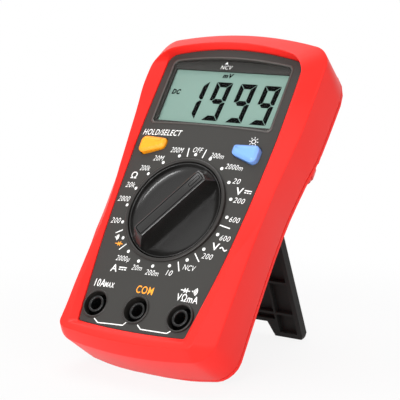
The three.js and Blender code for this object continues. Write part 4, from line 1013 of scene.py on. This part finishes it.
@dataclass
class Print:
    """The print on the panel: the dial's numbers, dots and bars, the signs and the jacks' names."""

    places: int = 20
    dot_ring: float = 22.75
    dot_radius: float = 0.64
    small: Words = (
        ("OFF", 0.3, 24.7, 4.3, 2.1), ("200m", 9.5, 23.2, 5.8, 2.1), ("2000m", 18.2, 19.6, 7.3, 2.1),
        ("20", 21.3, 14.3, 3.1, 2.1), ("200", 25.1, 7.0, 4.5, 2.1), ("600", 26.1, -0.5, 4.1, 2.1),
        ("600", 25.1, -8.0, 4.1, 2.1), ("200", 20.8, -15.8, 4.3, 2.1), ("NCV", 15.4, -21.2, 5.1, 2.1),
        ("10", 8.1, -24.3, 2.6, 2.1), ("200m", 0.8, -25.3, 5.9, 2.1), ("20m", -6.6, -24.2, 4.7, 2.1),
        ("2000µ", -14.6, -21.6, 6.6, 2.6), ("200", -25.3, -6.6, 4.7, 2.2), ("2000", -25.5, 2.5, 5.9, 2.2),
        ("20k", -25.0, 8.4, 4.7, 2.2), ("200k", -21.0, 15.7, 5.0, 2.2), ("20M", -16.3, 20.1, 4.9, 2.2),
        ("200M", -9.1, 24.0, 5.9, 2.2))
    heading: Words = (("HOLD/SELECT", -19.5, 31.0, 19.0, 2.5),)
    capitals: Words = (
        ("V", 23.8, 10.6, 3.0, 2.9), ("V", 22.5, -11.7, 3.0, 2.9), ("Ω", -25.0, 12.5, 3.0, 2.8),
        ("A", -16.9, -25.4, 3.1, 2.9), ("10A", -20.8, -31.8, 5.1, 3.0), ("MAX", -16.0, -32.2, 4.5, 2.0),
        ("VΩmA", 19.2, -32.4, 8.9, 2.9))
    common: Words = (("COM", 0.6, -32.2, 7.5, 3.0),)
    bars: tuple[Triple, ...] = (
        (0.5, 21.9, 25.5), (-0.5, 21.9, 25.5), (5.5, 21.4, 25.9), (7.5, 21.9, 25.9), (8.5, 22.0, 25.9),
        (12.5, 22.1, 25.6), (13.5, 22.4, 25.7))
    brackets: tuple[Pairs, ...] = (((-17.1, -45.6), (-14.7, -47.0), (-3.1, -46.5), (-1.9, -44.9)),
                                   ((3.1, -45.4), (5.1, -46.8), (16.2, -46.4), (17.4, -45.3)))

    def white(self) -> Shape:
        """Everything that is printed white; a bar's table gives its place on the dial and both its radii.

        Returns:
            The print on the flat face.
        """
        ink = Ink()
        for centre in circle(self.dot_ring, self.places):
            ink.plate(circle(self.dot_radius, 16) + centre)
        ink.words(self.small)
        ink.words(self.heading, 0.008)
        ink.words(self.capitals, 0.01, 0.0)
        for place, inner, outer in self.bars:
            along = toward(place / self.places)
            ink.line(along * inner, along * outer)
        ink.direct(27.3, 10.8, 2.9)
        ink.direct(-12.9, -25.3, 3.6)
        ink.wave(25.9, -12.1)
        ink.sound(-21.4, -13.3, 1.6)
        ink.sound(21.2, -29.5, 1.9)
        ink.diode(17.3, -29.7, 1.9)
        ink.lamp(22.2, 30.6)
        for bracket in self.brackets:
            ink.line(*bracket, width=0.4)
        return ink.shape

    def amber(self) -> Shape:
        """Everything that is printed orange.

        Returns:
            The print on the flat face.
        """
        ink = Ink()
        ink.words(self.common, 0.012, 0.0)
        ink.diode(-19.3, -15.8, 1.8)
        return ink.shape

    def build(self) -> None:
        """Lay both colours of print on the crowned panel."""
        make_piece("white_print", self.white().crowned(), "case", Finishes.WHITE)
        make_piece("orange_print", self.amber().crowned(), "case", Finishes.AMBER)


@dataclass
class Display:
    """The window's frame and the reading on the glass."""

    pane_half: float = 26.58
    pane_low: float = 35.8
    pane_high: float = 63.4
    arch: float = 1.6
    arch_steps: int = 24
    corner: float = 1.2
    view: Triple = (25.98, 37.0, 59.6)
    seat: Pair = (-3.1, -2.3)
    seat_edge: float = 0.4
    bead_reach: float = 0.2
    bead: Pairs = ((0.25, -0.9), (0.25, 0.08), (0.45, 0.3), (0.8, 0.3), (1.0, 0.08), (1.04, -0.3))
    glass_z: float = -3.4
    glass_ink: Pair = (0.005, 0.045)
    glass_words: Words = (("mV", -1.6, 58.2, 4.9, 2.0), ("DC", -22.7, 50.1, 4.0, 2.3))
    pane_z: float = -1.2
    pane_words: Words = (("NCV", -2.1, 60.55, 5.2, 1.7),)
    arrow: Pairs = ((-3.5, 61.9), (-1.9, 61.9), (-2.6, 63.0))
    digit_width: float = 7.37
    digit_height: float = 16.5
    stroke: float = 2.1
    slant: float = 0.0655
    slope: float = -0.0125
    nick: float = 0.16
    low: float = 38.75
    cells: tuple[tuple[float, str], ...] = (
        (-17.24, "bc"), (-6.5, "abcdfg"), (4.55, "abcdfg"), (15.4, "abcdfg"))

    def outline(self, grow: float) -> Array:
        """The window's outline: straight sides, small corners and an arched top.

        Args:
            grow: how far outside the pane it lies.

        Returns:
            (n, 2) points, as many for every outline.
        """
        half, low, high = self.pane_half + grow, self.pane_low - grow, self.pane_high + grow
        x = np.linspace(half - self.corner, self.corner - half, self.arch_steps)
        side = high - self.arch - self.corner
        left, right = [(-half, side), (-half, low + self.corner)], [(half, low + self.corner), (half, side)]
        return np.concatenate([np.column_stack([x, high - self.arch * (x / half) ** 2]), left,
                               at_height(x[::-1], low), right])

    def segments(self) -> dict[str, Array]:
        """The strokes of a digit as flat outlines with mitred ends and a nick between them.

        Returns:
            The outlines by their usual letters.
        """
        w, h, t, n = self.digit_width, self.digit_height, self.stroke, self.nick
        m, s = h / 2, t / 2
        top = np.array([(n, h), (w - n, h), (w - t - n, h - t), (t + n, h - t)])
        upper = np.array([(0, h - n), (t, h - t - n), (t, m + s + n), (s, m + n * 1.4), (0, m + n * 2.2)])
        middle = np.array([(s + n, m), (t + n, m + s), (w - t - n, m + s), (w - s - n, m), (w - t - n, m - s),
                           (t + n, m - s)])
        right = upper * [-1, 1] + [w, 0]
        return {"a": top, "b": right, "c": right * [1, -1] + [0, h], "d": top * [1, -1] + [0, h], "f": upper,
                "g": middle}

    def reading(self) -> Shape:
        """The whole number on the glass, each digit slanted and set in its cell, with its two signs.

        Returns:
            The reading.
        """
        lift, thick = self.glass_ink
        strokes, ink = self.segments(), Ink(self.glass_z + lift, thick)
        for left, lit in self.cells:
            for name in lit:
                x, y = strokes[name].T
                ink.plate(np.column_stack([x + y * self.slant + left, y + self.low + self.slope * left]))
        ink.words(self.glass_words, 0.05)
        return ink.shape

    def frame(self) -> Shape:
        """The raised frame round the window: a rounded bead along the outline, on the crowned face."""
        rings = np.stack([at_height(self.outline(grow), z) for grow, z in self.bead])
        return Shape().skin(rounded(rings, [self.bead_reach] * len(rings), 3), closed=True).crowned()

    def ledge(self) -> Shape:
        """The dark seat under the pane, from the opening's wall to the part of the glass that is seen.

        Returns:
            The seat.
        """
        half, low, high = self.view
        outer = self.outline(self.seat_edge)
        return Shape().band(np.clip(outer, [-half, low], [half, high]), outer, *self.seat)

    def mark(self) -> Shape:
        """The sensor's mark, printed on the pane over the glass: three letters under a small arrowhead.

        Returns:
            The mark.
        """
        ink = Ink(self.pane_z + 0.004)
        ink.words(self.pane_words)
        ink.plate(np.array(self.arrow))
        return ink.shape

    def build(self) -> None:
        """Make the mark on the pane, the frame in a lighter grey for its painted highlight, the seat behind the
        pane and the reading.
        """
        make_piece("window_mark", self.mark(), "case", Finishes.WHITE)
        # painted highlight: the bead is panel plastic, drawn lighter for the highlight that it catches
        make_piece("window_frame", self.frame(), "case", Finishes.BEAD_HIGHLIGHT)
        make_piece("window_seat", self.ledge(), "case", Finishes.PANEL)
        make_piece("display_reading", self.reading(), "case", Finishes.DIGIT)


@dataclass
class Keys:
    """The two sprung key caps under the window: flat tops with broad bevels."""

    low: float = 21.5
    high: float = 28.6
    inner: float = 15.35
    outer: float = 26.85
    corner: float = 0.9
    corners: Pairs = ((0.06, 0.95), (0.88, 1.0), (1.0, 0.8), (0.985, 0.14), (0.82, 0.0), (0.07, 0.37),
                      (0.0, 0.5), (0.0, 0.86))
    bevel: Pairs = ((0.0, -4.2), (0.0, 0.25), (-0.2, 0.55), (-1.0, 1.2), (-1.35, 1.3))
    bevel_reach: float = 0.3
    top_rings: Pair = (0.7, 0.35)

    def outline(self, side: int) -> Array:
        """The outline of the cap on the left (-1) or right (1)."""
        shares = np.array(self.corners) * [side * (self.outer - self.inner), self.high - self.low]
        return corners_rounded(shares + [side * self.inner, self.low], self.corner)

    def shape(self, side: int) -> Shape:
        """Rings of the cap's outline that draw in over the bevel to the top.

        Args:
            side: -1 for the left cap, 1 for the right one.

        Returns:
            The cap.
        """
        rings = np.stack([at_height(grown(self.outline(side), grow), z) for grow, z in self.bevel])
        middle = rings[-1:].mean(axis=1, keepdims=True)
        top = [middle + (rings[-1:] - middle) * share for share in self.top_rings]
        bevel = rounded(rings, [self.bevel_reach] * len(rings), 4, closed=False)
        return Shape().skin(np.concatenate([bevel, *top]))

    def build(self) -> None:
        """Make both caps in place of their CAD nodes."""
        make_piece("hold_key_cap", self.shape(-1), "hold_key", Finishes.YELLOW, 60, "hold_button")
        make_piece("light_key_cap", self.shape(1), "light_key", Finishes.BLUE, 60, "light_button")


@dataclass
class Dial:
    """The knob: a dished disc with a tall grip ridge across it, and the collar that it turns in.

    A level of the ridge is how far it reaches to the head and to the tail, its half width and its height. A
    line on the ridge's top is its left, right, high and low side, its corners' reach and its width.
    """

    edge: float = 19.17
    pointer: float = math.radians(-36)
    bowl: Pairs = ((0.05, -2.6), (10.0, -2.6), (15.4, -2.58), (16.8, -2.25), (17.8, -1.63), (18.35, -0.8),
                   (18.62, 0.05), (18.82, 0.3), (19.04, 0.26), (19.2, 0.0), (19.2, -5.5), (17.6, -5.5),
                   (17.6, -4.4), (4.6, -4.4), (4.6, -8.2), (0.05, -8.2))
    levels: tuple[tuple[float, float, float, float], ...] = (
        (19.8, 19.8, 4.4, -3.0), (19.8, 19.8, 3.9, -2.1), (19.8, 19.8, 3.4, -0.1), (16.6, 15.5, 2.9, 4.34),
        (16.28, 15.18, 2.58, 4.5))
    reach: tuple[float, ...] = (0.2, 0.6, 0.3, 0.08, 0.08)
    point: float = 0.22
    corner: float = 0.35
    lines: tuple[tuple[float, ...], ...] = (
        (-2.1, 1.9, 15.7, -14.6, 0.6, 0.26), (-0.8, 0.6, 15.0, 10.1, 0.3, 0.2))
    line_z: Pair = (4.4, 4.52)
    collar: Pairs = ((19.56, -2.0), (19.56, 0.45), (19.75, 0.63), (20.6, 0.63), (20.93, 0.4), (20.96, -1.3))
    steps: int = 180

    def level(self, head: float, tail: float, half: float, z: float) -> Array:
        """One level of the ridge: a bar whose ends come to a slight point, drawn in to the knob's edge.

        Args:
            head: how far it reaches to the pointer's end.
            tail: how far it reaches to the other end.
            half: its half width.
            z: its height.

        Returns:
            (n, 3) points.
        """
        point = half * self.point
        flat = corners_rounded([(-half, head - point), (0, head), (half, head - point), (half, point - tail),
                                (0, -tail), (-half, point - tail)], self.corner, 5)
        radius = np.linalg.norm(flat, axis=1, keepdims=True)
        return at_height(flat * np.minimum(1.0, self.edge / radius), z)

    def grip(self) -> Shape:
        """The disc, its profile turned about Z, with the ridge on it, turned to the pointer's place.

        Returns:
            The knob.
        """
        shape = Shape().skin(turned(self.bowl, self.steps, reach=1.0, steps=6))
        rings = np.stack([self.level(*level) for level in self.levels])
        return shape.skin(rounded(rings, self.reach, 5, closed=False)).turn(self.pointer)

    def shaded_grooves(self) -> Shape:
        """Painted shade for the grooves on the ridge's top: dark bands over a long frame inside its edges and
        over the pointer's slot.

        Returns:
            The bands of painted shade.
        """
        shape = Shape()
        for left, right, high, low, corner, width in self.lines:
            path = corners_rounded([(left, high), (right, high), (right, low), (left, low)], corner, 3)
            outer, inner = ribbon(path, width, closed=True)
            shape.band(inner, outer, *self.line_z)
        return shape.turn(self.pointer)

    def build(self) -> None:
        """Make the knob in place of its CAD node, the painted shade in its grooves, and the collar over the
        panel's own.
        """
        ring = Shape().skin(turned(self.collar, self.steps, steps=3), closed=True)
        make_piece("dial_grip", self.grip(), "dial", Finishes.BLACK, 40, "dial_knob")
        # painted shade: dark bands laid on the ridge's top where its grooves hold shade
        make_piece("dial_groove_shading", self.shaded_grooves(), "dial", Finishes.GROOVE_SHADE)
        make_piece("dial_collar", ring, "case", Finishes.RING, 45)


@dataclass
class Jacks:
    """The three shrouded jacks: a well, a tube that stands in it and a ring on the panel round each."""

    spacing: float = 19.0
    y: float = -40.0
    well: float = 4.8
    steps: int = 72
    tube: Pairs = ((2.15, -8.8), (2.15, -1.1), (2.45, -0.6), (3.05, -0.6), (3.3, -0.9), (3.3, -8.8))
    cup: Pairs = ((3.1, -9.0), (6.1, -9.0), (6.1, -3.9), (4.8, -3.9), (4.8, -7.6), (3.1, -7.6))
    ring: Pairs = ((4.74, -3.1), (4.74, 0.3), (4.92, 0.52), (5.3, 0.52), (5.52, 0.3), (5.54, -0.9),
                   (5.1, -1.0), (5.1, -3.1))

    def places(self, sunk: bool = False) -> list[Triple]:
        """Where the three jacks are, level or sunk with the crowned face at each."""
        return [(x, self.y, float(crown(x)) if sunk else 0.0) for x in (-self.spacing, 0.0, self.spacing)]

    def build(self) -> None:
        """Make the block's tubes and wells in place of its CAD node, and the rings on the panel."""
        block = Shape().posts(self.tube, self.places(), self.steps, 0.12, 3)
        block.posts(self.cup, self.places(), self.steps, 0.1, 3)
        make_piece("jack_shrouds", block, "case", Finishes.JACK, replaces="jack_block")
        rings = Shape().posts(self.ring, self.places(sunk=True), self.steps, 0.14, 3)
        make_piece("jack_rings", rings, "case", Finishes.RING)


@dataclass
class Panel:
    """The dark front panel: a crowned plate with its openings, its rim and what stands under it."""

    gap: float = 0.3
    hole: float = 19.6
    under: float = -3.0
    rim: float = 0.6
    rim_z: Pair = (-4.35, -2.9)
    overlap: float = 0.1
    flange: float = 1.2
    flange_z: Pair = (-4.35, -3.15)
    grid_x: Triple = (-30, 30.1, 1.5)
    grid_y: Triple = (-46, 66.1, 3.0)
    merge: float = 1e-5
    screws: Pairs = ((0.0, 27.4), (22.3, -27.0), (-22.3, -27.0))
    boss: Pairs = ((1.4, -9.0), (2.5, -9.0), (2.5, -2.9), (1.4, -2.9))
    notches: int = 20
    bite: Pair = (18.65, 0.275)
    tube: float = 21.7
    tube_z: Triple = (-2.0, -5.8, -8.6)

    def loops(self) -> list[Array]:
        """The plate's outline, then its openings: the window, the dial, both keys and the three jacks.

        Returns:
            Each closed outline's (n, 2) points.
        """
        keys, jacks = Keys(), Jacks()
        return [PANEL.ring(), Display().outline(self.gap), circle(self.hole, 180),
                *(grown(keys.outline(side), self.gap) for side in (-1, 1)),
                *(circle(jacks.well, jacks.steps) + place[:2] for place in jacks.places())]

    def plate(self) -> Shape:
        """The plate itself.

        Formula: a Delaunay triangulation of the loops and of a grid between them, kept where a triangle's
        centre lies inside an odd number of loops; its points stand on the crown and again on the underside.

        Returns:
            The plate.
        """
        loops = self.loops()
        grid = np.stack(np.meshgrid(np.arange(*self.grid_x), np.arange(*self.grid_y)), -1).reshape(-1, 2)
        grid = grid[sum(crossings(grid, loop) for loop in loops) % 2 == 1]
        starts = np.cumsum([0] + [len(loop) for loop in loops])
        sides = [start + np.column_stack([np.arange(len(loop)), np.roll(np.arange(len(loop)), -1)])
                 for start, loop in zip(starts, loops)]
        flat = list(map(Vector, np.concatenate([*loops, grid]).tolist()))
        corners, _, faces, *_ = delaunay_2d_cdt(flat, np.concatenate(sides).tolist(), [], 0, self.merge)
        points, triangles = np.array(corners), np.array(faces)
        centres = points[triangles].mean(1)
        triangles = triangles[sum(crossings(centres, loop) for loop in loops) % 2 == 1]
        ways = np.concatenate([triangles[:, pair] for pair in ([0, 1], [1, 2], [2, 0])])
        _, first, times = np.unique(np.sort(ways, 1), axis=0, return_index=True, return_counts=True)
        here, there = ways[first[times == 1]].T
        count = len(points)
        walls = np.column_stack([there, here, here + count, there + count])
        both = np.concatenate([at_height(points, crown(points[:, 0])), at_height(points, self.under)])
        return Shape().add(both, triangles, triangles[:, ::-1] + count, walls)

    def teeth(self) -> Shape:
        """The tube under the dial's opening whose lower end has a notch for each place of the dial.

        Formula: eight points to a notch, whose inner radius goes round as a cosine.

        Returns:
            The tube.
        """
        top, shoulder, low = self.tube_z
        mean, reach = self.bite
        inner = mean + reach * np.tile(circle(1.0, 8)[:, 1:], (self.notches, 1))
        levels = ((self.tube, top), (self.tube, low), (inner, low), (inner, shoulder), (self.hole, shoulder),
                  (self.hole, top))
        around = circle(1.0, self.notches * 8)
        return Shape().skin(np.stack([at_height(around * radius, z) for radius, z in levels]), closed=True)

    def build(self) -> None:
        """Make the plate, its rim and flange, the notched tube and the bosses in place of the CAD node."""
        shape = self.plate().band(PANEL.ring(-self.rim), PANEL.ring(), *self.rim_z)
        shape.band(PANEL.ring(-self.overlap), PANEL.ring(self.flange), *self.flange_z).join(self.teeth())
        shape.posts(self.boss, [(x, y, 0.0) for x, y in self.screws])
        make_piece("panel_plate", shape, "case", Finishes.PANEL, 30, "front_panel")


@dataclass
class Hardware:
    """The CAD nodes that keep their shape: each gets its finish, and softer shading over its facets.

    A node's finish is the one whose list has the longest name that its own name starts with.
    """

    weld: float = 0.000002
    sharp: float = math.radians(34)
    dress: tuple[tuple[Finishes, tuple[str, ...]], ...] = (
        (Finishes.RED, ("rear_cover", "battery_door")),
        (Finishes.PANE, ("display_window",)),
        (Finishes.LCD, ("lcd_glass",)),
        (Finishes.DARK, ("lcd_frame", "hold_switch_body", "light_switch_body", "measuring_chip", "buzzer")),
        (Finishes.STAND, ("tilt_stand",)),
        (Finishes.CREAM, ("light_guide", "hold_switch_plunger", "light_switch_plunger", "switch_rotor")),
        (Finishes.RUBBER, ("contact_strip",)),
        (Finishes.BLUE_PART, ("calibration_trimmer",)),
        (Finishes.ORANGE, ("protection_thermistor",)),
        (Finishes.SLEEVE, ("filter_capacitor", "battery_cell_")),
        (Finishes.BOARD, ("circuit_board",)),
        (Finishes.GLASS, ("fuse_10_amp", "fuse_milliamp")),
        (Finishes.BRASS, ("socket_", "shunt_wire", "field_sensor_plate", "wiper_contact_", "fuse_10_amp_",
                          "fuse_milliamp_")),
        (Finishes.STEEL, ("detent_", "board_screw_", "case_screw_", "battery_door_screw", "battery_link_",
                          "battery_plus_", "battery_minus_")))

    def softening(self) -> Tree:
        """A modifier's node tree that joins loose triangles and shades smoothly but for sharp edges.

        Returns:
            The tree.
        """
        tree = bpy.data.node_groups.new("SoftShading", "GeometryNodeTree")
        for way in ("INPUT", "OUTPUT"):
            tree.interface.new_socket("Geometry", in_out=way, socket_type="NodeSocketGeometry")
        given = add_node(tree, "NodeGroupInput").outputs[0]
        weld = add_node(tree, "GeometryNodeMergeByDistance", {"Geometry": given, "Distance": self.weld})
        smooth = add_node(tree, "GeometryNodeSetShadeSmooth", {"Geometry": weld.outputs[0]})
        angle = add_node(tree, "GeometryNodeInputMeshEdgeAngle").outputs["Unsigned Angle"]
        over = add_node(tree, "FunctionNodeCompare", {"A": angle, "B": self.sharp}).outputs["Result"]
        sharp = add_node(tree, "GeometryNodeSetShadeSmooth", {
            "Geometry": smooth.outputs[0], "Selection": over, "Shade Smooth": False}, domain="EDGE")
        add_node(tree, "NodeGroupOutput", {0: sharp.outputs[0]})
        return tree

    def build(self, nodes: dict[str, bpy.types.Object]) -> None:
        """Dress every CAD node that still shows.

        Args:
            nodes: the frame's objects by name.
        """
        tree = self.softening()
        for name, piece in nodes.items():
            if piece.hide_render:
                continue
            fits = [(len(start), kind.value) for kind, starts in self.dress for start in starts
                    if name.startswith(start)]
            finish = max(fits, key=lambda fit: fit[0])[1]
            if not piece.material_slots:
                piece.data.materials.append(None)
            for slot in piece.material_slots:
                slot.link = "OBJECT"
                slot.material = finish.material()
            piece.modifiers.new("SoftShading", "NODES").node_group = tree
            LOG.info("%s keeps its shape, as %s", name, finish.name)


# Studio


@dataclass(frozen=True)
class Lamp:
    """A soft rectangular lamp, turned to the meter's middle."""

    name: str
    place: Triple
    sides: Pair
    watts: float
    roll: float = 0.0
    target: Triple = (0.0, 0.0, 0.06)

    def hang(self) -> None:
        """Make the lamp at its place, rolled about the line to the meter's middle."""
        data = bpy.data.lights.new(self.name, "AREA")
        data.shape, data.size, data.size_y, data.energy = "RECTANGLE", *self.sides, self.watts
        look = (Vector(self.target) - Vector(self.place)).to_track_quat("-Z", "Y").to_matrix()
        turn = look @ Matrix.Rotation(math.radians(self.roll), 3, "Z")
        add_object(self.name, data).matrix_world = Matrix.Translation(Vector(self.place)) @ turn.to_4x4()


@dataclass
class Studio:
    """A pale floor, soft lamps, a pale surround and the camera at the photograph's angle."""

    eye: Triple = (0.3424, -0.46262, 0.15932)
    aim: Triple = (-0.58571, 0.79228, -0.17096)
    up: Triple = (-0.09577, 0.14179, 0.98525)
    lens: float = 142.05
    sensor: float = 36.0
    nearest: float = 0.01
    lamps: tuple[Lamp, ...] = (Lamp("key", (-0.15, -1.2, 0.55), (0.6, 0.6), 2.0),
                               Lamp("strip", (0.12, -1.25, 0.36), (1.7, 0.16), 19.0, roll=39.0),
                               Lamp("side", (1.1, -0.35, 0.45), (0.6, 0.6), 3.2),
                               Lamp("top", (-0.3, 0.1, 1.1), (0.8, 0.8), 7.0))
    surround: float = 0.42
    floor_tone: float = 0.7
    floor_rings: tuple[float, ...] = (0.2, 1.5, 6.0, 30.0)
    floor_steps: int = 64
    pool: Pair = (0.09, 0.2)
    pool_white: float = 0.88

    def camera(self) -> None:
        """Make the camera from its place, the way it looks and the image's up."""
        forward, up = Vector(self.aim).normalized(), Vector(self.up)
        right = forward.cross(up).normalized()
        turn = Matrix((right, right.cross(forward).normalized(), -forward)).transposed().to_4x4()
        data = bpy.data.cameras.new("camera")
        data.lens, data.sensor_width, data.clip_start = self.lens, self.sensor, self.nearest
        eye = add_object("camera", data)
        eye.matrix_world = Matrix.Translation(Vector(self.eye)) @ turn
        bpy.context.scene.camera = eye

    def see_white(self, tree: Tree) -> Socket:
        """A mask that is 1 for rays that see the background: from the camera, a mirror or through glass.

        Args:
            tree: the material's or the world's nodes.

        Returns:
            The mask.
        """
        rays = add_node(tree, "ShaderNodeLightPath").outputs
        seen = math_node(tree, "ADD", rays["Is Camera Ray"], rays["Is Glossy Ray"], use_clamp=True)
        return math_node(tree, "ADD", seen, rays["Is Transmission Ray"], use_clamp=True)

    def world(self) -> None:
        """A soft grey surround that lights the meter and shows as white."""
        world = bpy.data.worlds.new("surround")
        world.use_nodes = True
        tree = world.node_tree
        level = add_node(tree, "ShaderNodeMapRange", {"Value": self.see_white(tree), "To Min": self.surround})
        fill(tree.nodes["Background"], {"Color": (1, 1, 1, 1), "Strength": level.outputs[0]})
        bpy.context.scene.world = world

    def floor_material(self) -> bpy.types.Material:
        """Pale and matt near the meter, where its shadow falls, and fading to the surround's white.

        Returns:
            The material.
        """
        made = bpy.data.materials.new("FloorPale")
        made.use_nodes = True
        tree = made.node_tree
        shader = tree.nodes["Principled BSDF"]
        fill(shader, {"Base Color": (*[self.floor_tone] * 3, 1), "Roughness": 0.9, "Specular IOR Level": 0.1})
        place = add_node(tree, "ShaderNodeTexCoord").outputs["Object"]
        far = add_node(tree, "ShaderNodeVectorMath", {0: place}, operation="LENGTH").outputs["Value"]
        near, out = self.pool
        fade = add_node(tree, "ShaderNodeMapRange", {
            "Value": far, "From Min": near, "From Max": out, "To Min": self.pool_white},
            interpolation_type="SMOOTHSTEP")
        white = math_node(tree, "MULTIPLY", fade.outputs[0], self.see_white(tree))
        glow = add_node(tree, "ShaderNodeEmission").outputs[0]
        mix = add_node(tree, "ShaderNodeMixShader", {"Fac": white, 1: shader.outputs[0], 2: glow})
        fill(tree.nodes["Material Output"], {"Surface": mix.outputs[0]})
        return made

    def floor(self) -> None:
        """A wide flat floor at zero height: rings of growing radius round one middle face."""
        rings = np.concatenate([circle(radius, self.floor_steps) for radius in self.floor_rings])
        quads = grid_quads(len(self.floor_rings), self.floor_steps).tolist()
        mesh = bpy.data.meshes.new("floor")
        mesh.from_pydata(at_height(rings, 0.0).tolist(), [], [*quads, list(range(self.floor_steps))[::-1]])
        mesh.materials.append(self.floor_material())
        add_object("floor", mesh)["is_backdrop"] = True

    def build(self) -> None:
        """Set up the whole studio."""
        self.camera()
        for lamp in self.lamps:
            lamp.hang()
        self.world()
        self.floor()
        bpy.context.scene.view_settings.view_transform = "Standard"


def corners() -> list[list[float]]:
    """The whole object's lowest and highest corners as plain lists."""
    return [list(corner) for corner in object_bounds()]


def main() -> None:
    """Load the frame, build every sub-assembly on it, dress the rest and set up the studio."""
    logging.basicConfig(level=logging.INFO, format="%(message)s")
    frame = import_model()
    for part in (Studio(), CaseShell(), Panel(), Display(), Keys(), Dial(), Jacks(), Print()):
        part.build()
    Hardware().build(frame["nodes"])
    bpy.context.view_layer.update()


if __name__ == "__main__":
    main()
